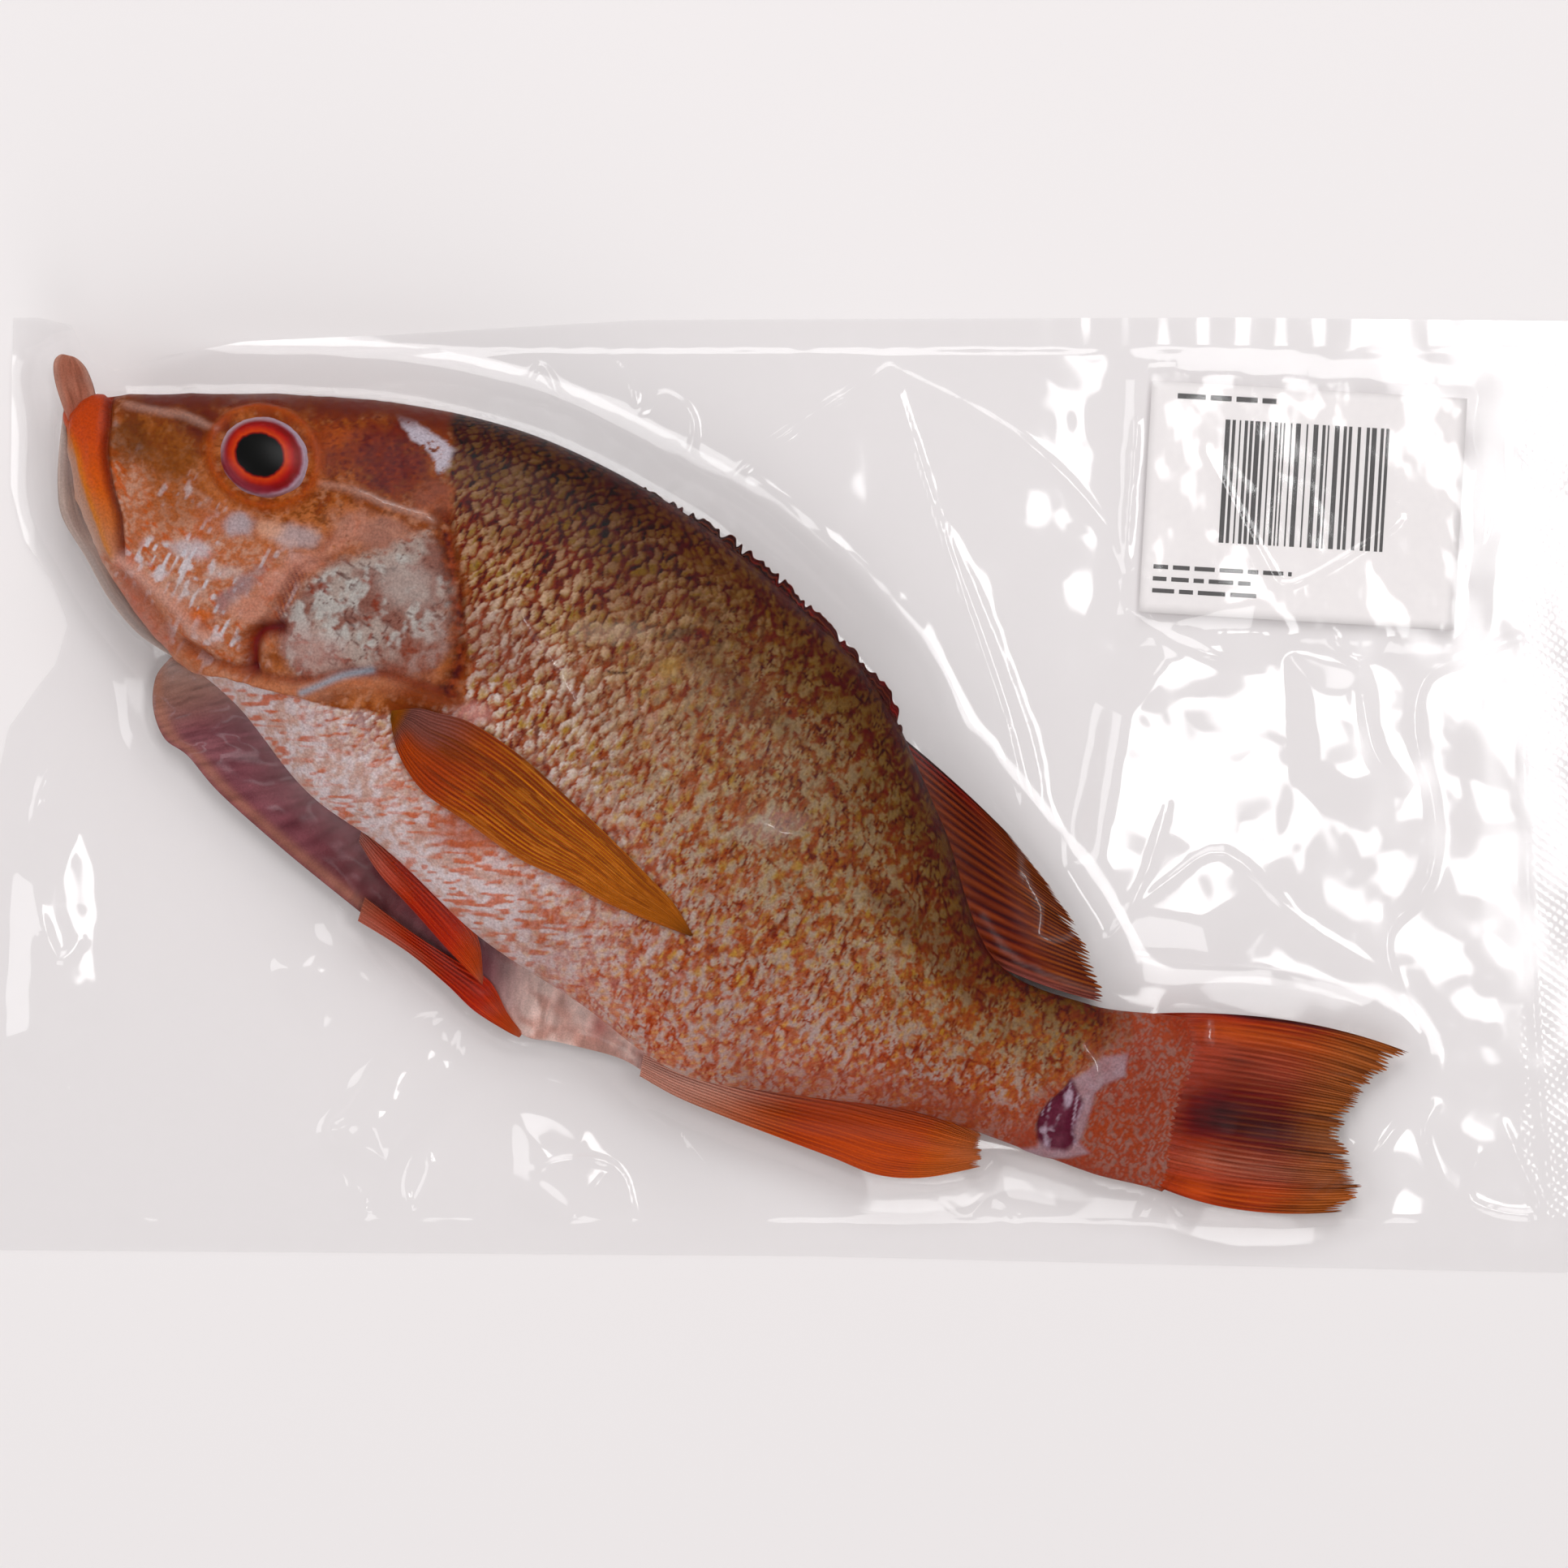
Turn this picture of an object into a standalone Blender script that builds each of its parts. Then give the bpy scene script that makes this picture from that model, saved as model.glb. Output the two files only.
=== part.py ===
"""A whole raw fish lying on its side in a clear vacuum bag, with a plain label card in the bag.

The fish is drawn in its own axes: "along" runs back from the tip of the snout, "up" is above the
line from snout to tail, towards the back fin, and Z stands up from the table. One empty turns that
drawing into its place in the bag. The bag lies square to X and Y, with the origin under its middle.
"""
import math

import bmesh
import bpy
import numpy as np

MM = 0.001

# Driving sizes, in millimetres
BAG_LENGTH = 350.0
BAG_WIDTH = 200.0
BAG_THICKNESS = 0.8
LABEL_LENGTH = 66.0
LABEL_WIDTH = 48.5
LABEL_THICKNESS = 0.4
LABEL_MIDDLE = (100.5, 60.6)
LABEL_TURN = math.radians(-3.3)
SNOUT_TIP = (-156.4, 78.1)
FISH_TURN = math.radians(-27.5)
TOUCHING_GAP = 0.3
CUT_OUT_MARGIN = 1.6

# The body at 16 stations: along, back, belly, half thickness, height of the middle plane
STATIONS = np.array([
    (0.0, 2.8, -1.5, 2.2, 15.5),
    (3.0, 6.2, -6.3, 5.6, 15.5),
    (9.0, 10.4, -13.8, 8.6, 15.6),
    (20.0, 16.3, -23.2, 11.6, 15.9),
    (36.0, 24.5, -31.6, 14.6, 16.6),
    (58.0, 33.8, -36.4, 17.5, 17.3),
    (80.0, 40.1, -45.8, 18.5, 17.9),
    (100.0, 42.3, -48.9, 18.3, 17.7),
    (125.0, 41.2, -55.9, 17.6, 17.0),
    (150.0, 36.0, -58.6, 16.6, 16.0),
    (175.0, 27.6, -62.0, 14.8, 14.3),
    (200.0, 8.8, -54.5, 12.0, 11.6),
    (222.0, -10.8, -46.8, 9.0, 8.9),
    (245.0, -10.0, -43.3, 6.4, 6.8),
    (262.0, -3.8, -41.0, 4.0, 5.4),
    (276.0, 0.5, -37.8, 1.4, 4.8),
])
SECTION_FULLNESS = 2.3
BODY_SLICES = 42
BODY_SIDES = 28
SLICE_CROWDING = 1.25
TAIL_TIP_HEIGHT = 3.6
TAIL_BOW = 3.4

# Height of each fin where the film meets its edge
TAIL_EDGE_HEIGHT = 4.0
SOFT_FIN_EDGE_HEIGHT = 6.0
SPINY_FIN_EDGE_HEIGHT = 14.0
ANAL_FIN_EDGE_HEIGHT = 6.0
FLAP_EDGE_HEIGHT = 4.5
JAW_TIP_EDGE_HEIGHT = 15.0

# Middle and radii of the eye and of the knife cut at the tail, in the fish's own axes
EYE_MIDDLE = (41.0, 11.5, 28.4)
EYE_RADII = (10.4, 8.8, 4.4)
TAIL_CUT_MIDDLE = (249.5, -30.0, 13.2)
TAIL_CUT_RADII = (4.8, 9.0, 2.6)

# Viewport colours of the three materials
SKIN_COLOUR = (0.42, 0.19, 0.10)
FILM_COLOUR = (0.80, 0.77, 0.77)
CARD_COLOUR = (0.80, 0.79, 0.79)
SHARP_ANGLE = math.radians(40)


def smooth(points, positions):
    """Catmull-Rom curve through rows of points, read at positions counted in rows."""
    points = np.asarray(points, float)
    last = len(points) - 1
    positions = np.clip(np.asarray(positions, float), 0.0, last)
    low = np.minimum(positions.astype(int), last - 1)
    part = (positions - low)[:, None]
    before = points[np.maximum(low - 1, 0)]
    start = points[low]
    end = points[low + 1]
    after = points[np.minimum(low + 2, last)]
    leave = (end - before) / 2.0
    reach = (after - start) / 2.0
    cube = part ** 3
    square = part ** 2
    return ((2 * cube - 3 * square + 1) * start + (cube - 2 * square + part) * leave
            + (3 * square - 2 * cube) * end + (cube - square) * reach)


def resample(points, count):
    """The smooth curve through the points, at even steps from its first to its last."""
    return smooth(points, np.linspace(0.0, len(points) - 1.0, count))


def stations_at(along):
    """Back, belly, half thickness and middle height of the body at distances along it."""
    rows = np.interp(along, STATIONS[:, 0], np.arange(len(STATIONS)))
    return smooth(STATIONS[:, 1:], rows).T


def flank_height(along, up):
    """Height of the body's upper side over a place in the fish's own axes."""
    back, belly, thick, middle = stations_at(np.atleast_1d(along))
    across = np.abs((np.atleast_1d(up) - (back + belly) / 2) / ((back - belly) / 2))
    rise = (1 - np.minimum(across, 1.0) ** SECTION_FULLNESS) ** (1 / SECTION_FULLNESS)
    return middle + thick * rise


def material(name, colour, roughness, alpha=1.0):
    """A Principled material of one colour."""
    made = bpy.data.materials.new(name)
    made.use_nodes = True
    shader = made.node_tree.nodes["Principled BSDF"]
    shader.inputs["Base Color"].default_value = (*colour, 1.0)
    shader.inputs["Roughness"].default_value = roughness
    shader.inputs["Metallic"].default_value = 0.0
    shader.inputs["Alpha"].default_value = alpha
    return made


def mesh_object(name, points, faces, parent=None):
    """An object from points in millimetres, in flat triangles that face outwards."""
    mesh = bpy.data.meshes.new(name)
    mesh.from_pydata([tuple(float(value) * MM for value in point) for point in points], [], faces)
    work = bmesh.new()
    work.from_mesh(mesh)
    bmesh.ops.recalc_face_normals(work, faces=work.faces)
    bmesh.ops.triangulate(work, faces=work.faces)
    work.to_mesh(mesh)
    work.free()
    made = bpy.data.objects.new(name, mesh)
    bpy.context.scene.collection.objects.link(made)
    made.parent = parent
    return made


def as_helper(helper):
    """Marks an object as one that only shapes another."""
    helper.hide_render = True
    helper.display_type = "WIRE"
    return helper


def combine(target, helper, operation):
    """Joins a helper to the target, or cuts it out of the target."""
    modifier = target.modifiers.new(helper.name, "BOOLEAN")
    modifier.operation = operation
    modifier.solver = "EXACT"
    modifier.object = as_helper(helper)


def closed_grid(upper, lower):
    """Points and faces of a plate between two grids of points, closed round its border."""
    rows, columns = upper.shape[:2]
    points = np.vstack([upper.reshape(-1, 3), lower.reshape(-1, 3)])
    below = rows * columns
    faces = []
    for row in range(rows - 1):
        for column in range(columns - 1):
            a = row * columns + column
            b = a + 1
            c = a + columns + 1
            d = a + columns
            faces.append((a, b, c, d))
            faces.append((below + d, below + c, below + b, below + a))
    border = [(0, column) for column in range(columns)]
    border += [(row, columns - 1) for row in range(1, rows)]
    border += [(rows - 1, column) for column in range(columns - 2, -1, -1)]
    border += [(row, 0) for row in range(rows - 2, 0, -1)]
    ring = [row * columns + column for row, column in border]
    for first, second in zip(ring, ring[1:] + ring[:1]):
        faces.append((second, first, below + first, below + second))
    return points, faces


def blade(name, first, second, heights, thickness, steps, parent, bow=0.0, jag=0.0):
    """A fin or flap between two curves: heights and thickness go from the first to the second.

    heights may be a function of along and up. bow swells the two end rays outwards, and jag
    pulls every other point of the second curve back by that many millimetres.
    """
    count, layers = steps
    root = resample(first, count)
    tip = resample(second, count)
    side = np.linspace(1.0, -1.0, count)
    toothed = (np.arange(count) % 2) * jag
    upper = np.zeros((layers, count, 3))
    lower = np.zeros((layers, count, 3))
    for layer in range(layers):
        part = layer / (layers - 1)
        place = root + (tip - root) * part
        ray = (tip - root) / np.linalg.norm(tip - root, axis=1)[:, None]
        place[:, 1] += bow * 4 * part * (1 - part) * side
        place -= ray * (toothed * part)[:, None]
        if callable(heights):
            middle = heights(place[:, 0], place[:, 1])
        else:
            middle = heights[0] + (heights[1] - heights[0]) * part
        half = (thickness[0] + (thickness[1] - thickness[0]) * part) / 2
        upper[layer, :, :2] = place
        lower[layer, :, :2] = place
        upper[layer, :, 2] = middle + half
        lower[layer, :, 2] = middle - half
    points, faces = closed_grid(upper, lower)
    return mesh_object(name, points, faces, parent)


def ellipsoid(name, middle, radii, parent):
    """A closed egg shape, for the eye and for the cut at the tail."""
    mesh = bpy.data.meshes.new(name)
    work = bmesh.new()
    bmesh.ops.create_uvsphere(work, u_segments=18, v_segments=10, radius=1.0)
    bmesh.ops.scale(work, verts=work.verts, vec=[radius * MM for radius in radii])
    bmesh.ops.translate(work, verts=work.verts, vec=[value * MM for value in middle])
    work.to_mesh(mesh)
    work.free()
    made = bpy.data.objects.new(name, mesh)
    bpy.context.scene.collection.objects.link(made)
    made.parent = parent
    return made


def body(parent):
    """The body as superellipse sections along the stations, flattened where it lies."""
    reach = STATIONS[-1, 0]
    along = reach * np.linspace(0.0, 1.0, BODY_SLICES) ** SLICE_CROWDING
    back, belly, thick, middle = stations_at(along)
    turn = np.linspace(0.0, 2 * math.pi, BODY_SIDES, endpoint=False)
    power = 2 / SECTION_FULLNESS
    across = np.sign(np.cos(turn)) * np.abs(np.cos(turn)) ** power
    rise = np.sign(np.sin(turn)) * np.abs(np.sin(turn)) ** power
    points = []
    for place in range(BODY_SLICES):
        for side in range(BODY_SIDES):
            up = (back[place] + belly[place]) / 2 + (back[place] - belly[place]) / 2 * across[side]
            height = middle[place] + thick[place] * rise[side]
            points.append((along[place], up, max(height, 0.0)))
    faces = []
    for place in range(BODY_SLICES - 1):
        for side in range(BODY_SIDES):
            following = (side + 1) % BODY_SIDES
            start = place * BODY_SIDES
            faces.append((start + side, start + following,
                          start + BODY_SIDES + following, start + BODY_SIDES + side))
    faces.append(tuple(range(BODY_SIDES)))
    final = (BODY_SLICES - 1) * BODY_SIDES
    faces.append(tuple(final + side for side in range(BODY_SIDES)))
    return mesh_object("fish", points, faces, parent)


# Fin and flap curves in the fish's own axes, from the root of each to its edge
TAIL_ROOT = [(255.0, -7.0), (258.0, -14.0), (262.0, -24.0), (266.0, -32.0), (269.0, -37.5)]
TAIL_EDGE = [(308.0, 11.5), (304.5, 1.5), (304.5, -9.0), (311.0, -16.0), (311.5, -24.0)]
SOFT_FIN_ROOT = [(182.0, 19.0), (200.0, 3.0), (214.0, -9.5), (228.0, -17.0)]
SOFT_FIN_EDGE = [(183.0, 25.5), (208.0, 14.5), (229.0, 5.0), (247.5, -6.5)]
SPINY_FIN_ROOT = [(122.0, 37.5), (145.0, 33.5), (165.0, 26.5), (186.0, 16.0)]
SPINY_FIN_EDGE = [(122.0, 42.2), (145.0, 40.5), (165.0, 34.5), (186.0, 25.0)]
ANAL_FIN_ROOT = [(168.0, -58.0), (190.0, -54.0), (211.0, -46.5), (237.0, -41.0)]
ANAL_FIN_EDGE = [(172.0, -68.0), (197.5, -64.5), (221.5, -62.0), (240.0, -49.5)]
BREAST_FIN_UPPER = [(89.0, -21.0), (104.0, -17.0), (129.0, -22.0), (151.0, -28.5), (164.0, -34.4)]
BREAST_FIN_LOWER = [(93.0, -31.0), (109.5, -35.5), (128.0, -37.5), (148.0, -37.0), (164.0, -35.4)]
NEAR_BELLY_FIN_UPPER = [(95.0, -45.0), (112.5, -48.5), (125.0, -55.5), (130.0, -63.5)]
NEAR_BELLY_FIN_LOWER = [(97.0, -53.5), (111.0, -58.0), (123.0, -62.5), (129.5, -64.5)]
FAR_BELLY_FIN_UPPER = [(100.0, -60.0), (118.0, -62.0), (132.0, -63.5), (142.0, -70.0)]
FAR_BELLY_FIN_LOWER = [(100.0, -65.8), (118.0, -67.5), (131.0, -70.8), (141.5, -71.2)]
FLAP_ROOT = [(46.0, -30.0), (62.0, -33.0), (85.0, -40.0), (110.0, -44.0), (140.0, -51.0),
             (168.0, -57.0)]
FLAP_EDGE = [(40.5, -38.0), (48.5, -51.0), (69.5, -56.0), (97.5, -62.5), (142.0, -70.5),
             (168.0, -66.0)]
JAW_TIP_LEFT = [(-7.5, 9.0), (-1.0, 1.0)]
JAW_TIP_RIGHT = [(-2.7, 11.6), (4.0, 3.5)]
GILL_COVER_FRONT = [(60.0, 13.0), (61.0, -7.0), (62.0, -21.0)]
GILL_COVER_REAR = [(78.0, 16.0), (93.0, -4.0), (84.0, -21.0)]
MOUTH_LINE = [(6.0, 6.5), (11.0, -4.0), (20.0, -15.5)]
MOUTH_GAPE = 1.3
GILL_LINE = [(79.0, 16.5), (88.5, 6.0), (94.5, -6.0), (93.0, -13.0)]
GILL_GAPE = 1.4
SLIT_ROOT = [(54.0, -24.0), (75.0, -32.0), (100.0, -38.0), (128.0, -47.0), (150.0, -53.0)]
SLIT_MOUTH = [(50.0, -43.0), (73.0, -52.0), (100.0, -58.0), (128.0, -64.0), (154.0, -66.0)]
SLIT_HEIGHTS = (11.8, 11.4)
SLIT_GAPE = (0.6, 5.6)


def along_flank(sink):
    """Heights for a piece that lies on the flank, sunk into it by so many millimetres."""
    return lambda along, up: flank_height(along, up) - sink


def add_fins(fish, parent):
    """Joins every fin, the loose belly flap, the jaw tip, the eye and the gill cover to the body."""
    pieces = [
        blade("tail_fin", TAIL_ROOT, TAIL_EDGE, (5.3, TAIL_TIP_HEIGHT), (3.6, 1.0), (17, 5), parent,
              bow=TAIL_BOW, jag=2.0),
        blade("soft_back_fin", SOFT_FIN_ROOT, SOFT_FIN_EDGE, (9.0, 5.0), (4.0, 1.0), (17, 4), parent,
              jag=1.0),
        blade("spiny_back_fin", SPINY_FIN_ROOT, SPINY_FIN_EDGE, (14.5, 14.0), (5.0, 1.4), (19, 2),
              parent, jag=0.9),
        blade("anal_fin", ANAL_FIN_ROOT, ANAL_FIN_EDGE, (9.0, 5.5), (4.5, 1.0), (15, 4), parent),
        blade("breast_fin", BREAST_FIN_UPPER, BREAST_FIN_LOWER, along_flank(0.2), (2.4, 2.4),
              (12, 4), parent),
        blade("flap", FLAP_ROOT, FLAP_EDGE, (7.0, 4.0), (4.5, 2.0), (20, 4), parent),
        blade("near_belly_fin", NEAR_BELLY_FIN_UPPER, NEAR_BELLY_FIN_LOWER, (15.4, 12.0), (2.5, 1.6),
              (8, 3), parent),
        blade("far_belly_fin", FAR_BELLY_FIN_UPPER, FAR_BELLY_FIN_LOWER, (5.8, 4.6), (2.4, 1.6),
              (8, 3), parent),
        blade("jaw_tip", JAW_TIP_LEFT, JAW_TIP_RIGHT, (15.4, 15.6), (2.2, 3.0), (4, 3), parent),
        blade("gill_cover", GILL_COVER_FRONT, GILL_COVER_REAR, along_flank(0.1), (1.4, 2.6), (9, 5),
              parent),
        ellipsoid("eye", EYE_MIDDLE, EYE_RADII, parent),
    ]
    for piece in pieces:
        combine(fish, piece, "UNION")


def open_belly(fish, parent):
    """Cuts the slit where the fish was gutted, between the upper belly wall and the loose flap."""
    slit = blade("belly_slit", SLIT_ROOT, SLIT_MOUTH, SLIT_HEIGHTS, SLIT_GAPE, (14, 3), parent)
    combine(fish, slit, "DIFFERENCE")


def cut_details(fish, parent):
    """Cuts the mouth line, the line behind the gill cover and the knife cut at the tail."""
    mouth_behind = [(along + MOUTH_GAPE, up) for along, up in MOUTH_LINE]
    gill_behind = [(along + GILL_GAPE, up) for along, up in GILL_LINE]
    mouth_depth = (3.0, 3.0)
    gill_depth = (3.6, 3.6)
    cutters = [
        blade("mouth_line", MOUTH_LINE, mouth_behind, along_flank(0.0), mouth_depth, (7, 2), parent),
        blade("gill_line", GILL_LINE, gill_behind, along_flank(0.0), gill_depth, (8, 2), parent),
        ellipsoid("tail_cut", TAIL_CUT_MIDDLE, TAIL_CUT_RADII, parent),
    ]
    for cutter in cutters:
        combine(fish, cutter, "DIFFERENCE")


# The bag's border in row millimetres: the film draws in round the snout and at the left edge
LEFT_EDGE = [(-100.0, -175.0), (-30.0, -175.0), (-5.0, -174.0), (12.0, -170.5), (26.5, -160.5),
             (35.5, -158.0), (43.5, -161.0), (52.0, -167.0), (64.0, -170.0), (100.0, -169.5)]
TOP_EDGE = [(-175.0, 100.0), (-164.0, 99.9), (-157.0, 98.2), (-153.2, 91.0), (-147.0, 88.2),
            (-138.0, 91.7), (-121.0, 95.0), (-90.0, 96.4), (-60.0, 98.2), (-37.0, 99.5),
            (83.0, 100.0), (175.0, 99.0)]
BOTTOM_EDGE = [(-175.0, -95.3), (-2.0, -96.6), (57.0, -98.0), (150.0, -100.0), (175.0, -100.0)]
RASTER_STEP = 2.0
FILM_REACH = 9.0
FILM_SWEEPS = 260
FLAT_BELOW = 0.35
SNOUT_PART = 0.10
SNOUT_COLUMNS = 8
OTHER_COLUMNS = 30
FILM_ROWS = 21
CUT_FROM = -5.0
CUT_TO = 45.0


def body_outline(count=44):
    """The body seen from above, down its back and up its belly, in its own axes."""
    along = STATIONS[-1, 0] * np.linspace(0.0, 1.0, count) ** SLICE_CROWDING
    back, belly, _, _ = stations_at(along)
    lower = np.column_stack([along, belly])
    upper = np.column_stack([along, back])
    return np.vstack([upper, lower[::-1]])


def ring_between(first, second, count=12):
    """The outline of a blade, out along its second curve and home along its first."""
    return np.vstack([resample(second, count), resample(first, count)[::-1]])


def tail_outline():
    """The tail fin's outline with its bowed upper and lower rays."""
    part = np.linspace(0.0, 1.0, 6)[:, None]
    swell = np.column_stack([np.zeros(6), 4 * part[:, 0] * (1 - part[:, 0])]) * TAIL_BOW
    root = np.array(TAIL_ROOT)
    edge = np.array(TAIL_EDGE)
    upper = root[0] + (edge[0] - root[0]) * part + swell
    lower = root[-1] + (edge[-1] - root[-1]) * part - swell
    return np.vstack([upper, resample(TAIL_EDGE, 14)[1:-1], lower[::-1]])


def outlines():
    """Each piece of the fish that meets the film: its outline and its height at the edge."""
    return [
        (body_outline(), None),
        (tail_outline(), TAIL_EDGE_HEIGHT),
        (ring_between(SOFT_FIN_ROOT, SOFT_FIN_EDGE), SOFT_FIN_EDGE_HEIGHT),
        (ring_between(SPINY_FIN_ROOT, SPINY_FIN_EDGE), SPINY_FIN_EDGE_HEIGHT),
        (ring_between(ANAL_FIN_ROOT, ANAL_FIN_EDGE), ANAL_FIN_EDGE_HEIGHT),
        (ring_between(FLAP_ROOT, FLAP_EDGE, 18), FLAP_EDGE_HEIGHT),
        (ring_between(FAR_BELLY_FIN_UPPER, FAR_BELLY_FIN_LOWER), FLAP_EDGE_HEIGHT),
        (ring_between(JAW_TIP_LEFT, JAW_TIP_RIGHT, 4), JAW_TIP_EDGE_HEIGHT),
    ]


def to_row(points):
    """Places in the fish's own axes as row millimetres."""
    cosine = math.cos(FISH_TURN)
    sine = math.sin(FISH_TURN)
    return np.column_stack([SNOUT_TIP[0] + points[:, 0] * cosine - points[:, 1] * sine,
                            SNOUT_TIP[1] + points[:, 0] * sine + points[:, 1] * cosine])


def inside(x, y, ring):
    """Even-odd test of places against a closed outline."""
    hit = np.zeros(x.shape, bool)
    for (ax, ay), (bx, by) in zip(ring, np.roll(ring, -1, axis=0)):
        if ay == by:
            continue
        crosses = (ay > y) != (by > y)
        hit ^= crosses & (x < (bx - ax) * (y - ay) / (by - ay) + ax)
    return hit


def film_raster():
    """Height of the two sealed films: held up at the fish's edge, drawn down to the table away from it.

    The sheet obeys height = reach squared times its curvature, solved by repeated sweeps.
    """
    columns = np.arange(-BAG_LENGTH / 2, BAG_LENGTH / 2 + RASTER_STEP, RASTER_STEP)
    rows = np.arange(-BAG_WIDTH / 2 - RASTER_STEP, BAG_WIDTH / 2 + 2 * RASTER_STEP, RASTER_STEP)
    x, y = np.meshgrid(columns, rows)
    cosine = math.cos(FISH_TURN)
    sine = math.sin(FISH_TURN)
    along = (x - SNOUT_TIP[0]) * cosine + (y - SNOUT_TIP[1]) * sine
    _, _, _, middle = stations_at(np.clip(along.ravel(), 0.0, STATIONS[-1, 0]))
    middle = middle.reshape(x.shape)
    height = np.zeros(x.shape)
    fixed = np.zeros(x.shape, bool)
    for ring, level in reversed(outlines()):
        held = inside(x, y, to_row(ring))
        height[held] = middle[held] if level is None else level
        fixed |= held
    held_height = height.copy()
    pull = (RASTER_STEP / FILM_REACH) ** 2
    for _ in range(FILM_SWEEPS):
        padded = np.pad(height, 1, mode="edge")
        around = padded[:-2, 1:-1] + padded[2:, 1:-1] + padded[1:-1, :-2] + padded[1:-1, 2:]
        height = np.where(fixed, held_height, around / (4.0 + pull))
    return columns, rows, np.maximum(height - FLAT_BELOW, 0.0)


def read_raster(raster, x, y):
    """The raster's value at places between its points."""
    columns, rows, height = raster
    column = np.clip((x - columns[0]) / RASTER_STEP, 0, len(columns) - 1.001)
    row = np.clip((y - rows[0]) / RASTER_STEP, 0, len(rows) - 1.001)
    left = column.astype(int)
    low = row.astype(int)
    right_part = column - left
    high_part = row - low
    bottom = height[low, left] * (1 - right_part) + height[low, left + 1] * right_part
    top = height[low + 1, left] * (1 - right_part) + height[low + 1, left + 1] * right_part
    return bottom * (1 - high_part) + top * high_part


def grown(ring, margin):
    """A closed outline moved outwards by a margin, corner by corner."""
    keep = np.linalg.norm(ring - np.roll(ring, 1, axis=0), axis=1) > 0.2
    ring = ring[keep]
    area = np.sum(ring[:, 0] * np.roll(ring[:, 1], -1) - np.roll(ring[:, 0], -1) * ring[:, 1])
    forward = np.roll(ring, -1, axis=0) - ring
    forward /= np.linalg.norm(forward, axis=1)[:, None]
    arriving = np.roll(forward, 1, axis=0)
    tangent = forward + arriving
    tangent /= np.maximum(np.linalg.norm(tangent, axis=1)[:, None], 0.2)
    outward = np.column_stack([tangent[:, 1], -tangent[:, 0]]) * np.sign(area)
    return ring + outward * margin


def prism(name, ring, bottom, top, parent):
    """An upright block with the given outline."""
    count = len(ring)
    points = [(*place, bottom) for place in ring] + [(*place, top) for place in ring]
    faces = [tuple(range(count)), tuple(range(count, 2 * count))]
    for first in range(count):
        second = (first + 1) % count
        faces.append((first, second, count + second, count + first))
    return mesh_object(name, points, faces, parent)


def bag(parent):
    """The bag's two sealed films round the fish, as one thin sheet with the fish's outline cut out."""
    raster = film_raster()
    fine = np.linspace(0.0, SNOUT_PART, SNOUT_COLUMNS)
    coarse = np.linspace(SNOUT_PART, 1.0, OTHER_COLUMNS)[1:]
    across = np.concatenate([fine, coarse])
    upward = np.linspace(0.0, 1.0, FILM_ROWS)
    across, upward = np.meshgrid(across, upward)
    left_rows = np.array(LEFT_EDGE)
    nominal = (upward - 0.5) * BAG_WIDTH
    left = np.interp(nominal, left_rows[:, 0], left_rows[:, 1])
    x = left + (BAG_LENGTH / 2 - left) * across
    top_rows = np.array(TOP_EDGE)
    bottom_rows = np.array(BOTTOM_EDGE)
    low = np.interp(x, bottom_rows[:, 0], bottom_rows[:, 1])
    high = np.interp(x, top_rows[:, 0], top_rows[:, 1])
    y = low + (high - low) * upward
    height = read_raster(raster, x, y)
    upper = np.dstack([x, y, height + BAG_THICKNESS])
    lower = np.dstack([x, y, height])
    points, faces = closed_grid(upper, lower)
    made = mesh_object("bag", points, faces)
    for number, (ring, _) in enumerate(outlines()):
        block = prism(f"bag_cut_{number}", grown(ring, CUT_OUT_MARGIN), CUT_FROM, CUT_TO, parent)
        combine(made, block, "DIFFERENCE")
    return made


def label():
    """The plain card that lies on the lower film."""
    level = BAG_THICKNESS + TOUCHING_GAP
    half_length = LABEL_LENGTH / 2
    half_width = LABEL_WIDTH / 2
    corners = [(-half_length, -half_width), (half_length, -half_width),
               (half_length, half_width), (-half_length, half_width)]
    made = prism("label", corners, level, level + LABEL_THICKNESS, None)
    made.location = (LABEL_MIDDLE[0] * MM, LABEL_MIDDLE[1] * MM, 0.0)
    made.rotation_euler = (0.0, 0.0, LABEL_TURN)
    return made


def main():
    """Clears the scene and builds the fish, the bag and the label."""
    for old in list(bpy.data.objects):
        bpy.data.objects.remove(old, do_unlink=True)
    place = bpy.data.objects.new("fish_axes", None)
    bpy.context.scene.collection.objects.link(place)
    place.location = (SNOUT_TIP[0] * MM, SNOUT_TIP[1] * MM, 0.0)
    place.rotation_euler = (0.0, 0.0, FISH_TURN)
    fish = body(place)
    open_belly(fish, place)
    add_fins(fish, place)
    cut_details(fish, place)
    fish.data.shade_smooth()
    fish.data.set_sharp_from_angle(angle=SHARP_ANGLE)
    fish.data.materials.append(material("fish_skin", SKIN_COLOUR, 0.35))
    film = bag(place)
    film.data.materials.append(material("clear_film", FILM_COLOUR, 0.12, 0.35))
    card = label()
    card.data.materials.append(material("label_card", CARD_COLOUR, 0.55))


main()
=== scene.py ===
import math

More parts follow.
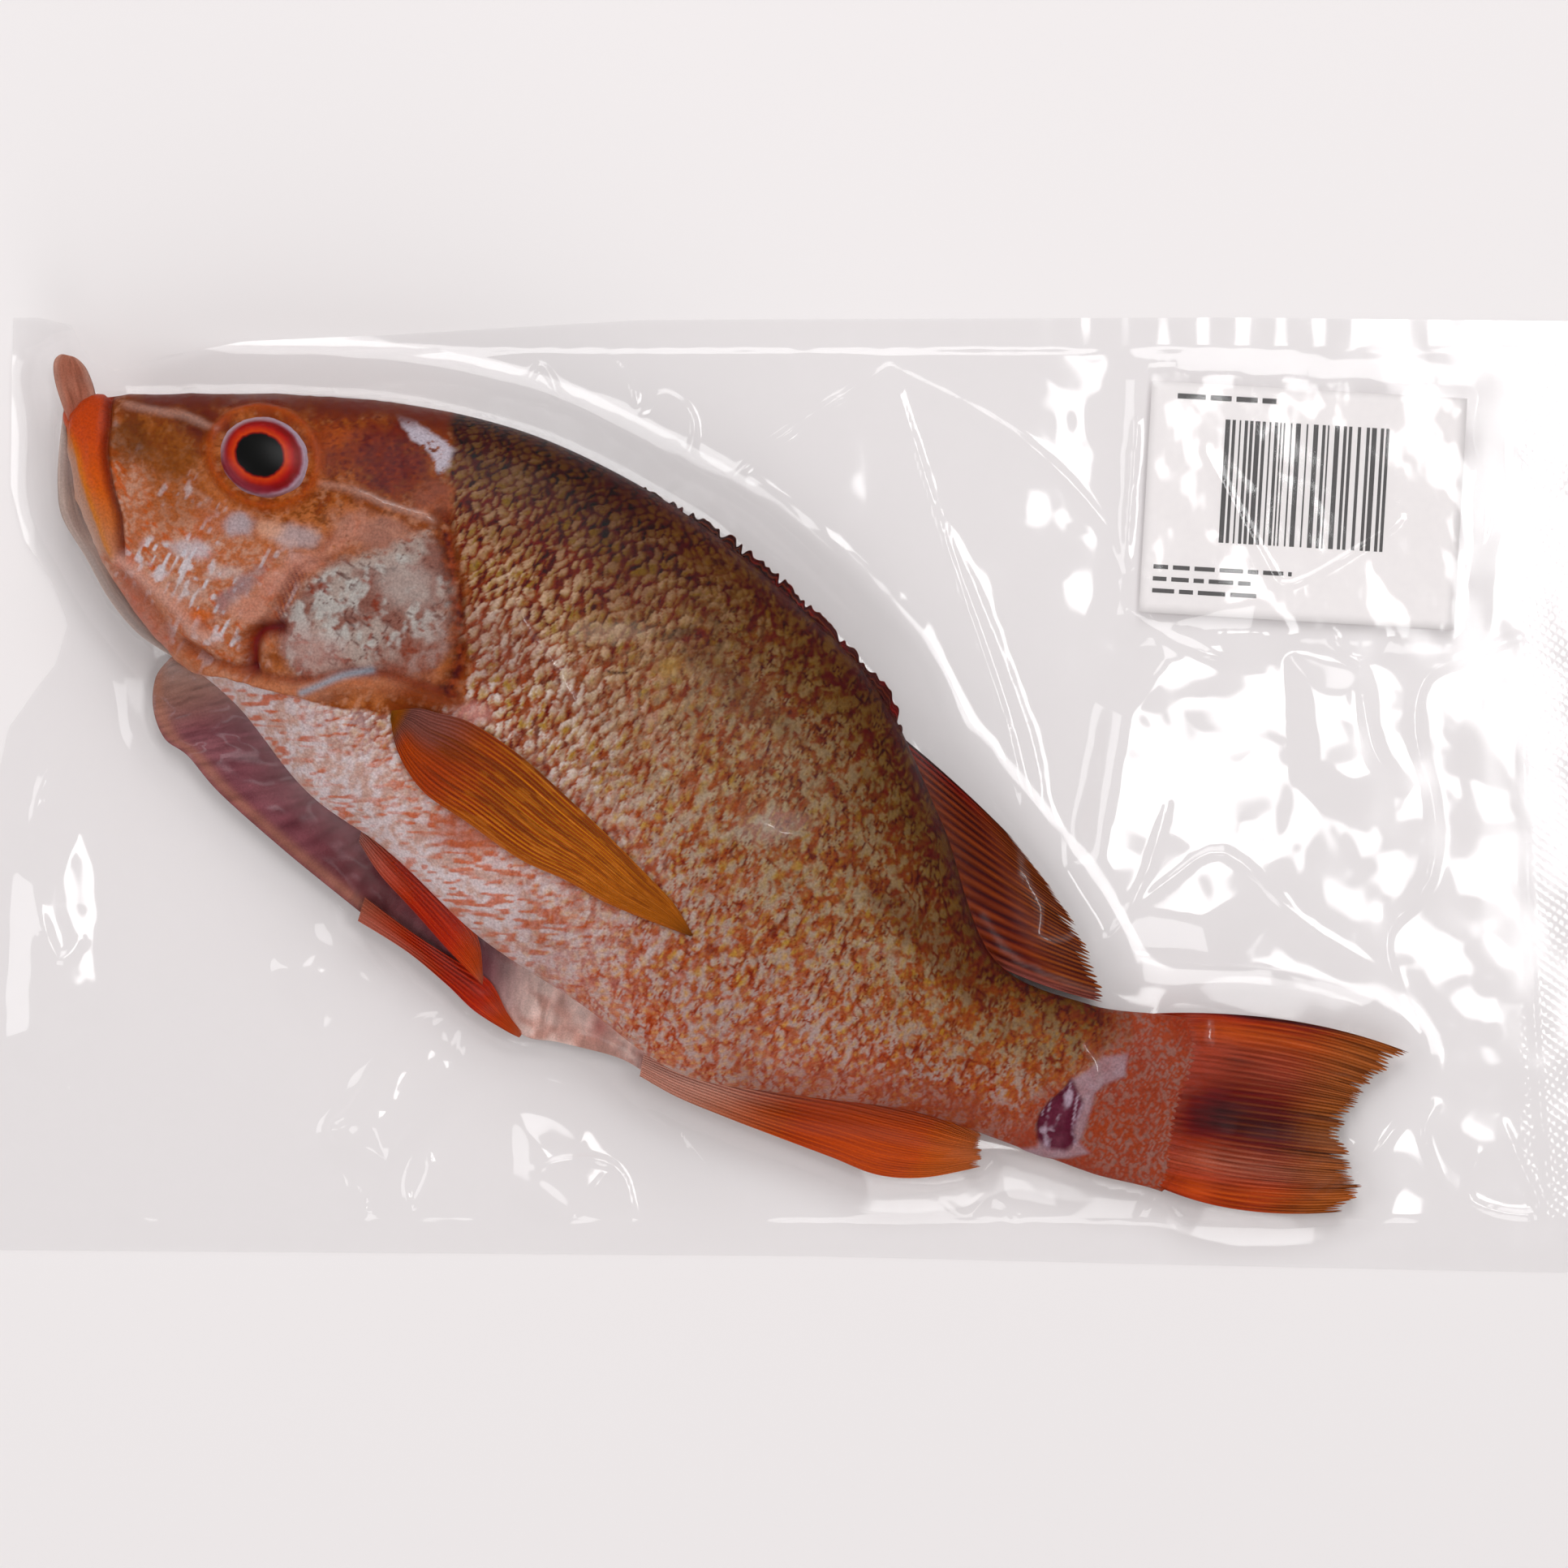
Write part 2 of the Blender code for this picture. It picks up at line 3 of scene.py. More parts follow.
import bpy
import numpy as np
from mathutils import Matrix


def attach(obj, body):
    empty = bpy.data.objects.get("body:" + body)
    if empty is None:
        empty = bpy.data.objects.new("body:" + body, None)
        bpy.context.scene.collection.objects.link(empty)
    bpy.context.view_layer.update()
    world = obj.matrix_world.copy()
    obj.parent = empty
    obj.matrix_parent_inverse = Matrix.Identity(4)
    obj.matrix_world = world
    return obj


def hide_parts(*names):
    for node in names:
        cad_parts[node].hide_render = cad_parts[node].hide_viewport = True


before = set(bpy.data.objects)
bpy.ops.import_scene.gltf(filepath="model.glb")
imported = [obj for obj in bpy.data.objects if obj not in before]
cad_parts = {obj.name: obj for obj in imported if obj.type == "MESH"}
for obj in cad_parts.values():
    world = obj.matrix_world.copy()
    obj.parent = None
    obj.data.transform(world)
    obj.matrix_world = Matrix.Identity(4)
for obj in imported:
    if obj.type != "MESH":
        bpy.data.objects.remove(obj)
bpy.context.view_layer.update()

# Camera, straight above the pack: 1.5 m over the table, with a view 328.4 mm wide at table height.
# The middle of the photo looks at a point 8 mm left of the bag's middle.
MM = 0.001
VIEW_MIDDLE = (-8.075, 2.295)
VIEW_HEIGHT = 1500.0
VIEW_WIDTH = 328.44
SENSOR = 36.0
camera_data = bpy.data.cameras.new("camera")
camera_data.sensor_width = SENSOR
camera_data.lens = SENSOR * VIEW_HEIGHT / VIEW_WIDTH
camera = bpy.data.objects.new("camera", camera_data)
camera.location = (VIEW_MIDDLE[0] * MM, VIEW_MIDDLE[1] * MM, VIEW_HEIGHT * MM)
bpy.context.scene.collection.objects.link(camera)
bpy.context.scene.camera = camera
bpy.context.scene.view_settings.view_transform = "Standard"


# Table top: a white board under the pack, painted matt, with a faint unevenness in its tone.
# It only carries the picture, so it is stage and not part of the object.
def linear(code):
    """A colour from its sRGB hex code, turned to linear light."""
    value = np.array([int(code[place:place + 2], 16) for place in (1, 3, 5)]) / 255.0
    return np.where(value <= 0.04045, value / 12.92, ((value + 0.055) / 1.055) ** 2.4)


def paint_of(name):
    """A new material with its node tree emptied but for its output."""
    made = bpy.data.materials.new(name)
    made.use_nodes = True
    made.node_tree.nodes.clear()
    add(made, "ShaderNodeOutputMaterial", {}, {}).name = "output"
    return made


def add(material, kind, settings, inputs):
    """Adds a node: its settings by name, and its inputs by name or number as values or outputs."""
    node = material.node_tree.nodes.new(kind)
    for key, value in settings.items():
        setattr(node, key, value)
    for key, value in inputs.items():
        if isinstance(value, bpy.types.NodeSocket):
            material.node_tree.links.new(value, node.inputs[key])
        elif isinstance(value, np.ndarray):
            node.inputs[key].default_value = (*value, 1.0)
        else:
            node.inputs[key].default_value = value
    return node


def show(material, shader):
    """Joins a shader to the material's output."""
    material.node_tree.links.new(shader, material.node_tree.nodes["output"].inputs["Surface"])


def places_of(material):
    """The place of each point in the object's own space."""
    return add(material, "ShaderNodeTexCoord", {}, {}).outputs["Object"]


def cloud_of(material, size, detail):
    """Noise whose hills are about size mm apart."""
    return add(material, "ShaderNodeTexNoise", {},
               {"Vector": places_of(material), "Scale": 1000.0 / size, "Detail": detail}).outputs[0]


def two_tone(material, size, detail, first, second):
    """A colour that wanders between two hex codes in hills of size mm."""
    return add(material, "ShaderNodeMix", {"data_type": "RGBA"},
               {"Factor": cloud_of(material, size, detail), 6: linear(first), 7: linear(second)}).outputs[2]


def principled(material, inputs):
    """Shows the material as a Principled BSDF with these inputs."""
    show(material, add(material, "ShaderNodeBsdfPrincipled", {}, inputs).outputs[0])


TABLE_SIZE = 6000.0
TABLE_DROP = 0.3
TONE_SIZE = 400.0
table_paint = paint_of("matt_white_board_paint")
principled(table_paint, {"Base Color": two_tone(table_paint, TONE_SIZE, 1.0, "#F3EFF0", "#EFEBEC"),
                         "Roughness": 0.8, "Specular IOR Level": 0.2})
half = TABLE_SIZE / 2 * MM
table_mesh = bpy.data.meshes.new("table")
table_mesh.from_pydata([(-half, -half, -TABLE_DROP * MM), (half, -half, -TABLE_DROP * MM),
                        (half, half, -TABLE_DROP * MM), (-half, half, -TABLE_DROP * MM)], [],
                        [(0, 1, 2, 3)])
table_mesh.materials.append(table_paint)
table = bpy.data.objects.new("table", table_mesh)
bpy.context.scene.collection.objects.link(table)


# Studio light: soft panels round the pack, none straight above it, so that flat film stays clear
# and each crease throws a glint. One panel at the right is mirrored by the film round the label.
def panel(name, place, size, radiance):
    """A square area light in metres that looks at the pack's middle; power = pi x area x radiance."""
    data = bpy.data.lights.new(name, "AREA")
    data.shape = "RECTANGLE"
    data.size, data.size_y = size
    data.energy = math.pi * size[0] * size[1] * radiance
    lamp = bpy.data.objects.new(name, data)
    x, y, z = place
    away = math.hypot(x, y)
    lamp.location = place
    lamp.rotation_euler = (0.0, math.atan2(away, z), math.atan2(y, x))
    bpy.context.scene.collection.objects.link(lamp)


panel("window_light", (0.10, 1.05, 1.15), (0.9, 0.9), 3.8)
panel("right_light", (0.36, 0.10, 1.10), (0.26, 0.34), 7.0)
panel("left_light", (-1.20, 0.10, 0.85), (0.6, 0.8), 2.6)
panel("near_light", (0.10, -1.15, 0.80), (1.0, 0.5), 2.6)
WORLD_STRENGTH = 0.38
world = bpy.data.worlds.new("studio")
world.use_nodes = True
world.node_tree.nodes["Background"].inputs["Color"].default_value = (*linear("#FFFCFA"), 1.0)
world.node_tree.nodes["Background"].inputs["Strength"].default_value = WORLD_STRENGTH
bpy.context.scene.world = world


# Fish skin: the body of a raw fish with its scales scraped off, lying on its side. The empty
# scale pockets show as staggered dishes, each with a raised dark rim towards the tail.
SNOUT_TIP = (-156.4, 78.1)
FISH_TURN = math.radians(-27.5)
SECTION_FULLNESS = 2.3
# Along the body, back, belly, half thickness and height of the middle plane, in millimetres
STATIONS = np.array([
    (0.0, 2.8, -1.5, 2.2, 15.5),
    (3.0, 6.2, -6.3, 5.6, 15.5),
    (9.0, 10.4, -13.8, 8.6, 15.6),
    (20.0, 16.3, -23.2, 11.6, 15.9),
    (36.0, 24.5, -31.6, 14.6, 16.6),
    (58.0, 33.8, -36.4, 17.5, 17.3),
    (80.0, 40.1, -45.8, 18.5, 17.9),
    (100.0, 42.3, -48.9, 18.3, 17.7),
    (125.0, 41.2, -55.9, 17.6, 17.0),
    (150.0, 36.0, -58.6, 16.6, 16.0),
    (175.0, 27.6, -62.0, 14.8, 14.3),
    (200.0, 8.8, -54.5, 12.0, 11.6),
    (222.0, -10.8, -46.8, 9.0, 8.9),
    (245.0, -10.0, -43.3, 6.4, 6.8),
    (262.0, -3.8, -41.0, 4.0, 5.4),
    (276.0, 0.5, -37.8, 1.4, 4.8),
])
NOSE_ROUNDING = 1.4
RESTS_AT = 0.3


def smooth(points, positions):
    """Catmull-Rom curve through rows of points, read at positions counted in rows."""
    points = np.asarray(points, float)
    last = len(points) - 1
    positions = np.clip(np.asarray(positions, float), 0.0, last)
    low = np.minimum(positions.astype(int), last - 1)
    part = (positions - low)[..., None]
    before = points[np.maximum(low - 1, 0)]
    start = points[low]
    end = points[low + 1]
    after = points[np.minimum(low + 2, last)]
    leave = (end - before) / 2.0
    reach = (after - start) / 2.0
    cube = part ** 3
    square = part ** 2
    return ((2 * cube - 3 * square + 1) * start + (cube - 2 * square + part) * leave
            + (3 * square - 2 * cube) * end + (cube - square) * reach)


def resample(points, count):
    """The smooth curve through the points, at even steps from its first to its last."""
    return smooth(points, np.linspace(0.0, len(points) - 1.0, count))


def stations_at(along):
    """Back, belly, half thickness and middle height, drawn in to a point at both ends."""
    rows = np.interp(along, STATIONS[:, 0], np.arange(len(STATIONS)))
    back, belly, thick, middle = np.moveaxis(smooth(STATIONS[:, 1:], rows), -1, 0)
    end = STATIONS[-1, 0]
    inside = np.minimum((along + NOSE_ROUNDING) / NOSE_ROUNDING,
                        (end + NOSE_ROUNDING - along) / NOSE_ROUNDING)
    taper = np.sqrt(np.clip(inside, 0.0004, 1.0))
    centre = (back + belly) / 2
    half = (back - belly) / 2 * taper
    return centre + half, centre - half, thick * taper, middle


def section(along, share):
    """Place up the body, middle plane and half thickness there, at a share of the round section.

    The share runs from 0 at the belly's edge to 1 at the back's edge.
    """
    back, belly, thick, middle = stations_at(along)
    across = -np.cos(np.pi * share)
    rise = (1 - np.abs(across) ** SECTION_FULLNESS) ** (1 / SECTION_FULLNESS)
    return (back + belly) / 2 + (back - belly) / 2 * across, middle, thick * rise


def to_row(along, up, height):
    """Places in the fish's own axes, in millimetres, as points of the pack in metres."""
    cosine = math.cos(FISH_TURN)
    sine = math.sin(FISH_TURN)
    x = SNOUT_TIP[0] + along * cosine - up * sine
    y = SNOUT_TIP[1] + along * sine + up * cosine
    return np.stack([x, y, np.broadcast_to(height, x.shape)], axis=-1) * MM


def flank_height(along, up):
    """Height of the body's upper side: the middle plane plus thickness x superellipse."""
    back, belly, thick, middle = stations_at(along)
    across = np.abs((up - (back + belly) / 2) / ((back - belly) / 2))
    rise = (1 - np.minimum(across, 1.0) ** SECTION_FULLNESS) ** (1 / SECTION_FULLNESS)
    return middle + thick * rise


NOISE_PLACES = 128
noise_table = np.random.default_rng(11).random((NOISE_PLACES, NOISE_PLACES))


def noise(x, y, size, layer=0):
    """Value noise from 0 to 1: random heights size mm apart, joined by a cubic ease."""
    x = x / size + layer * 17.31
    y = y / size + layer * 9.17
    column = np.floor(x).astype(int)
    row = np.floor(y).astype(int)
    right = x - column
    high = y - row
    right = right * right * (3 - 2 * right)
    high = high * high * (3 - 2 * high)
    near = noise_table[row % NOISE_PLACES, column % NOISE_PLACES] * (1 - right)
    near = near + noise_table[row % NOISE_PLACES, (column + 1) % NOISE_PLACES] * right
    far = noise_table[(row + 1) % NOISE_PLACES, column % NOISE_PLACES] * (1 - right)
    far = far + noise_table[(row + 1) % NOISE_PLACES, (column + 1) % NOISE_PLACES] * right
    return near * (1 - high) + far * high


def mottle(x, y, size, layer=0):
    """Three layers of noise, each half the size of the last and weaker, from 0 to 1."""
    return (0.5 * noise(x, y, size, layer) + 0.3 * noise(x, y, size / 2, layer + 1)
            + 0.2 * noise(x, y, size / 4, layer + 2))


def ease(value, low, high):
    """Smooth step from 0 at low to 1 at high."""
    part = np.clip((value - low) / (high - low), 0.0, 1.0)
    return part * part * (3 - 2 * part)


def line_reach(x, y, points):
    """Distance to a smooth line through the points, and how far along it the nearest place is."""
    line = resample(points, max(2, 4 * (len(points) - 1) + 1))
    best = np.full(np.shape(x), 1e9)
    where = np.zeros(np.shape(x))
    steps = len(line) - 1
    for number in range(steps):
        start = line[number]
        span = line[number + 1] - start
        part = np.clip(((x - start[0]) * span[0] + (y - start[1]) * span[1]) / (span @ span), 0.0, 1.0)
        distance = np.hypot(x - start[0] - part * span[0], y - start[1] - part * span[1])
        closer = distance < best
        best = np.where(closer, distance, best)
        where = np.where(closer, (number + part) / steps, where)
    return best, where


def near_line(x, y, points, width):
    """Bell-shaped mask along a smooth line, width mm to where it has fallen to a third."""
    return np.exp(-(line_reach(x, y, points)[0] / width) ** 2)


def patch(x, y, middle, radii, turn=0.0, rough=0.0, layer=0):
    """Bell-shaped oval mask, turned by degrees, its edge broken up by noise when rough."""
    angle = math.radians(turn)
    right = (x - middle[0]) * math.cos(angle) + (y - middle[1]) * math.sin(angle)
    high = (y - middle[1]) * math.cos(angle) - (x - middle[0]) * math.sin(angle)
    reach = np.hypot(right / radii[0], high / radii[1])
    reach = reach + rough * (mottle(x, y, 4.0, layer) - 0.5)
    return np.exp(-reach ** 4) if rough else np.exp(-reach ** 2)


def within(x, y, ring, soft=0.8):
    """Soft mask of the inside of a closed outline: even-odd test, faded over soft mm."""
    hit = np.zeros(np.shape(x), bool)
    for (ax, ay), (bx, by) in zip(ring, np.roll(ring, -1, axis=0)):
        if ay != by:
            hit ^= ((ay > y) != (by > y)) & (x < (bx - ax) * (y - ay) / (by - ay) + ax)
    best = np.full(np.shape(x), 1e9)
    for start, end in zip(ring, np.roll(ring, -1, axis=0)):
        span = end - start
        part = np.clip(((x - start[0]) * span[0] + (y - start[1]) * span[1]) / max(span @ span, 1e-9), 0.0,
                       1.0)
        best = np.minimum(best, np.hypot(x - start[0] - part * span[0], y - start[1] - part * span[1]))
    return ease(np.where(hit, best, -best), -soft, soft)


def mix(under, over, mask):
    """Lays one colour over another where the mask is 1; either may be given as its hex code."""
    under, over = (linear(colour) if isinstance(colour, str) else colour for colour in (under, over))
    mask = np.clip(mask, 0.0, 1.0)[..., None]
    return under * (1 - mask) + over * mask


def coats(colour, layers):
    """Lays colours over one another in turn; each layer is (colour or its hex code, mask)."""
    for over, mask in layers:
        colour = mix(colour, over, mask)
    return colour


def band(value, stops):
    """Colours that run from stop to stop as a value rises; each stop is (value, hex code)."""
    codes = np.array([linear(code) for _, code in stops])
    places = [stop for stop, _ in stops]
    return np.stack([np.interp(value, places, codes[:, channel]) for channel in range(3)], axis=-1)


def chance(column, row, layer):
    """A number from 0 to 1 that depends only on a cell's column and row."""
    return np.abs(np.sin(column * 127.1 + row * 311.7 + layer * 74.7) * 43758.5453) % 1.0


POCKET_JITTER = 0.44
POCKET_ROWS = (-1, 0, 1, 2)


def pockets(p, q):
    """Place inside the nearest cell of a staggered lattice, and that cell's own chances.

    Cells stand one apart along p and half apart along q, every other row shifted by half.
    """
    best = np.full(np.shape(p), 1e9)
    along = np.zeros(np.shape(p))
    across = np.zeros(np.shape(p))
    first = np.zeros(np.shape(p))
    second = np.zeros(np.shape(p))
    for row_step in POCKET_ROWS:
        row = np.floor(2 * q) + row_step
        shift = 0.5 * (row % 2)
        for column_step in (0, 1):
            column = np.floor(p - shift) + column_step
            a = chance(column, row, 1)
            b = chance(column, row, 2)
            dp = p - column - shift - (a - 0.5) * POCKET_JITTER
            dq = q - row / 2 - (b - 0.5) * POCKET_JITTER
            distance = dp ** 2 + 0.8 * dq ** 2
            closer = distance < best
            best = np.where(closer, distance, best)
            along = np.where(closer, dp, along)
            across = np.where(closer, dq, across)
            first = np.where(closer, a, first)
            second = np.where(closer, b, second)
    return along, across, first, second


# Width and height of a scale pocket at places along the body: small at the nape, finest at the tail
POCKET_WIDTH = [(0.0, 2.2), (85.0, 2.5), (120.0, 3.0), (160.0, 2.8), (210.0, 2.2), (276.0, 1.5)]
POCKET_HEIGHT = [(0.0, 2.6), (85.0, 3.0), (120.0, 3.8), (160.0, 3.6), (210.0, 2.7), (276.0, 1.9)]
POCKET_RELIEF = 0.07
SCALED_FROM = [(69.5, 38.0), (75.0, 29.5), (80.0, 21.0), (86.0, 13.0), (91.5, 4.0), (98.0, -7.5),
               (101.0, -14.0), (96.0, -20.0), (80.0, -27.0), (60.0, -31.0), (48.0, -34.0), (40.0, -38.0)]
SCALED_TO = [(240.0, 2.0), (246.0, -4.5), (251.0, -11.0), (252.0, -21.0), (246.0, -27.5), (242.0, -36.5)]
LIP_FRONT = [(-0.5, 2.5), (0.5, -2.5), (5.0, -7.5), (10.0, -13.0), (15.0, -17.5), (20.5, -22.5)]
LIP_REAR = [(6.0, 7.5), (8.5, 2.5), (11.0, -3.0), (15.0, -8.5), (19.5, -13.5), (23.5, -20.0)]
JAW_FOLD = [(24.0, -21.0), (30.0, -22.0), (38.0, -24.0), (45.0, -27.0), (49.0, -26.5)]
CHIN_FOLD = [(25.5, -23.5), (33.5, -26.5), (41.5, -30.0), (49.0, -30.5)]
NOSE_FOLD = [(10.0, 8.0), (16.0, 9.5), (21.5, 11.5), (28.0, 12.0)]
NAPE_CREST = [(54.0, 12.0), (59.5, 13.5), (68.5, 14.5), (78.0, 16.0)]
CHEEK_CREASE = [(66.0, 0.5), (63.5, -1.0), (59.0, -5.0), (57.5, -13.0), (57.0, -17.5), (54.0, -24.5)]
CHEEK_SLIT = [(60.0, -18.0), (57.0, -20.5), (56.5, -24.0), (58.5, -28.5)]
GILL_PLATE = np.array([(62.0, -22.0), (60.0, -15.5), (61.0, -7.5), (63.0, -2.0), (70.0, 4.0),
                       (78.5, 13.5), (83.0, 11.5), (87.5, 6.0), (93.5, -5.5), (92.5, -11.5),
                       (80.0, -20.5), (69.5, -26.0)])
GILL_GAP = [(80.0, 17.5), (85.5, 10.0), (90.5, 3.0), (95.5, -5.5), (97.0, -13.5)]
GILL_FOLD = [(43.5, -32.5), (51.0, -33.0), (61.0, -31.0), (69.0, -28.0), (76.0, -22.5), (84.0, -19.0),
             (92.0, -17.5), (99.0, -16.0)]
BLUE_STREAK = [(70.5, -27.5), (73.5, -24.0), (76.5, -20.5), (81.0, -17.0)]
EYE_MIDDLE = (41.0, 11.5)
TAIL_CUT = np.array([(248.0, -25.5), (247.5, -28.0), (246.0, -32.0), (245.5, -35.0), (246.0, -37.5),
                     (247.5, -40.0), (250.5, -41.0), (254.0, -39.5), (255.0, -37.0), (253.5, -35.0),
                     (253.0, -32.0), (252.5, -29.0), (250.5, -27.5)])
CUT_MEMBRANE = np.array([(248.0, -25.5), (250.0, -22.5), (251.5, -18.5), (256.0, -15.5), (257.5, -20.0),
                         (254.5, -23.5), (253.5, -26.0), (254.5, -29.5), (255.0, -33.0), (255.5, -36.5),
                         (258.5, -37.5), (255.0, -40.5), (249.0, -43.5), (245.0, -43.5), (248.0, -41.5),
                         (247.0, -33.0)])


def scaled(along, up):
    """Mask of the skin that carried scales: behind the gill cover and ahead of the tail rays."""
    front = np.interp(-up, [-point[1] for point in SCALED_FROM], [point[0] for point in SCALED_FROM])
    rear = np.interp(-up, [-point[1] for point in SCALED_TO], [point[0] for point in SCALED_TO])
    wander = 5.0 * (mottle(along, up, 5.0, 3) - 0.5)
    return ease(along - front + wander, -1.2, 1.2) * ease(rear - along + 2 * wander, -5.0, 5.0)


def flank_skin(along, up, share):
    """Relief in mm and colour of the scraped flank.

    In each pocket the front is a pale dish, the middle carries a yellow fleck and the rear edge
    is an arched rim: relief and colour follow the distance to that arch. Further back the pockets
    fade under slanting strokes, the near belly is pale with red dashes, and loose marks lie on top.
    """
    back, belly, thick, _ = stations_at(along)
    girth = back - belly + thick
    width = np.interp(along, *zip(*POCKET_WIDTH))
    height = np.interp(along, *zip(*POCKET_HEIGHT))
    fine = np.linspace(-2.0, 280.0, 600)
    counted = np.cumsum((fine[1] - fine[0]) / np.interp(fine, *zip(*POCKET_WIDTH)))
    stray = 0.8 * (noise(along, up, 8.0, 1) - 0.5)
    p = np.interp(along, fine, counted) + stray + 0.36 * (noise(along, up, 1.9, 5) - 0.5)
    q = (share - 0.5) * girth / height + 0.5 * (noise(along, up, 8.0, 2) - 0.5)
    q = q + 0.36 * (noise(along, up, 1.8, 6) - 0.5)
    dp, dq, first, second = pockets(p, q)
    arch = np.hypot(dp + 0.42, 0.78 * (dq - 0.06)) - 0.78 - 0.16 * (second - 0.5)
    arch = arch + 0.50 * (noise(along, up * 0.6, 1.1, 4) - 0.5) + 0.10 * (noise(along, up, 0.5, 10) - 0.5)
    broken = 0.25 + 0.75 * ease(noise(along, up, 1.7, 8), 0.20, 0.50)
    rim = np.exp(-(arch / (0.09 + 0.08 * first)) ** 2) * broken
    rust_rim = np.exp(-((arch + 0.10) / 0.19) ** 2)
    gold_spot = np.exp(-((arch + 0.34 + 0.1 * first) / 0.20) ** 2 - ((dq + 0.06) / 0.30) ** 2)
    off_middle = np.abs(dq - 0.04 + 0.3 * (noise(along, up, 1.3, 11) - 0.5))
    dish = ease(-arch, 0.12, 0.50) * (1 - ease(off_middle, 0.22, 0.56))

    wander = share + 0.10 * (mottle(along, up, 16.0, 7) - 0.5) + 0.05 * (noise(along, up, 3.0, 9) - 0.5)
    tail_end = ease(along + 6.0 * (mottle(along, up, 9.0, 19) - 0.5), 190.0, 250.0)
    base, silver, gold, rust, dark = (mix(band(wander, flank), band(wander, stalk), tail_end)
                                      for flank, stalk in SKIN_TONES)
    streaks = 0.5 + 0.5 * np.sin((share - 0.32) * 46.0 + 1.4 * mottle(along, up, 22.0, 12))
    streaks = np.maximum(streaks, 1 - ease(share, 0.34, 0.48) * (1 - ease(share, 0.80, 0.92)))
    cover = ease(mottle(along, up, 10.0, 23), 0.25, 0.70)
    silver_share = np.interp(share, [0.0, 0.3, 0.45, 0.62, 0.8, 1.0], [0.85, 0.85, 0.95, 0.85, 0.70, 0.50])
    silver_share = silver_share * (1 - 0.35 * ease(along, 150.0, 200.0))
    colour = mix(base, silver, dish * (0.50 + 0.5 * cover + 0.4 * second) * silver_share)
    colour = coats(colour, [
        (gold, gold_spot * (0.50 + 0.9 * first) * (0.5 + 0.5 * streaks)
         * np.interp(share, [0.0, 0.25, 0.45, 0.9], [0.2, 0.6, 1.0, 0.95])),
        (rust, rust_rim * (0.30 + 0.60 * second) * (1.1 - 0.4 * cover)),
        (dark, rim * (0.65 + 0.55 * first)),
    ])
    thread = 1 - np.abs(2 * noise(along + 0.5 * up, up * 0.32, 0.75, 14) - 1)
    thread = ease(thread, 0.78, 0.97) * ease(noise(along, up, 2.2, 26), 0.30, 0.60)
    colour = mix(colour, rust, 0.65 * thread * ease(along, 60.0, 110.0))
    nick = ease(mottle(along + 0.4 * up, up * 0.5, 0.8, 27), 0.62, 0.76)
    colour = mix(colour, dark, 0.65 * nick * (1 - 0.6 * dish))
    gleam = ease(mottle(along, up, 0.7, 21), 0.64, 0.80) * silver_share
    colour = mix(colour, silver * 1.15, 0.35 * gleam * (1 - rim))
    relief = POCKET_RELIEF * (0.7 * rim - 0.5 * dish + 0.2 * nick) * width / 3.0
    rear = ease(along + 20.0 * (1 - share), 112.0, 170.0)
    relief = relief * (1 - 0.65 * rear)
    ridge = 1 - np.abs(2 * noise(along * 1.5 + 0.3 * up, up * 0.6 + 0.2 * along, 1.0, 28) - 1)
    side = noise(along, up * 0.8, 1.7, 29)
    stroke = ease(ridge, 0.62, 0.88) * ease(side, 0.22, 0.46)
    hairline = ease(ridge, 0.84, 0.96) * ease(side, 0.42, 0.58)
    stroke_tone = band(wander, [(0.0, "#A23E16"), (0.3, "#983A12"), (0.55, "#7E3A16"), (0.8, "#4C240C"),
                                (1.0, "#3E1006")])
    pale_tone = band(wander, [(0.0, "#B09894"), (0.3, "#AC9A98"), (0.55, "#98886E"), (0.8, "#6A5030"),
                              (1.0, "#54301C")])
    brighter = 0.36 * (1 - ease(along, 100.0, 150.0)) * (1 - ease(share, 0.55, 0.75))
    pale_tone = pale_tone * (1 + brighter - 0.12 * ease(along, 145.0, 190.0))[..., None]
    clumps = ease(mottle(along, up * 0.8, 1.4, 39), 0.42, 0.62)
    fresh = mix(pale_tone, mix(base, rust, 0.5), 0.10 + 0.85 * clumps)
    fresh = coats(fresh, [
        (gold, 0.80 * gold_spot * (0.3 + first) * (1 - 0.5 * ease(share, 0.55, 0.80))),
        (stroke_tone, 0.90 * stroke),
        (dark, 0.80 * hairline),
        (dark, 0.40 * nick),
    ])
    colour = mix(colour, fresh, 0.90 * rear)

    belly_side = (1 - ease(share, 0.20, 0.40)) * (1 - ease(along, 120.0, 165.0))
    sway = 1.2 * noise(along, up, 4.0, 24)
    dashes = ease(noise(along * 0.62 + sway, up * 1.7 - 0.75 * along, 1.15, 15), 0.52, 0.72)
    dashes = dashes * ease(mottle(along, up, 8.0, 16), 0.22, 0.50)
    soft_white = mix("#CDBFC2", "#BC9A90", ease(mottle(along, up, 2.0, 17), 0.35, 0.65))
    front_belly = mix(soft_white, "#BC5830", 0.85 * dashes)
    colour = mix(colour, front_belly, 0.85 * belly_side)
    relief = relief * (1 - 0.5 * belly_side) + 0.10 * belly_side * dashes

    for middle, radii, turn, code, strength in FLANK_PATCHES:
        colour = mix(colour, code, strength * patch(along, up, middle, radii, turn, 0.9, 30))
    hair = near_line(along, up, LOOSE_HAIR, 0.22)
    colour = mix(colour, "#2A0C10", 0.9 * hair)
    under = ease(mottle(along, up, 30.0, 18), 0.35, 0.75)
    front_back = ease(share, 0.66, 0.84) * (1 - ease(along, 104.0, 130.0))
    colour = colour * ((1.06 - 0.16 * under) * (1 - 0.30 * front_back))[..., None]
    return relief, colour


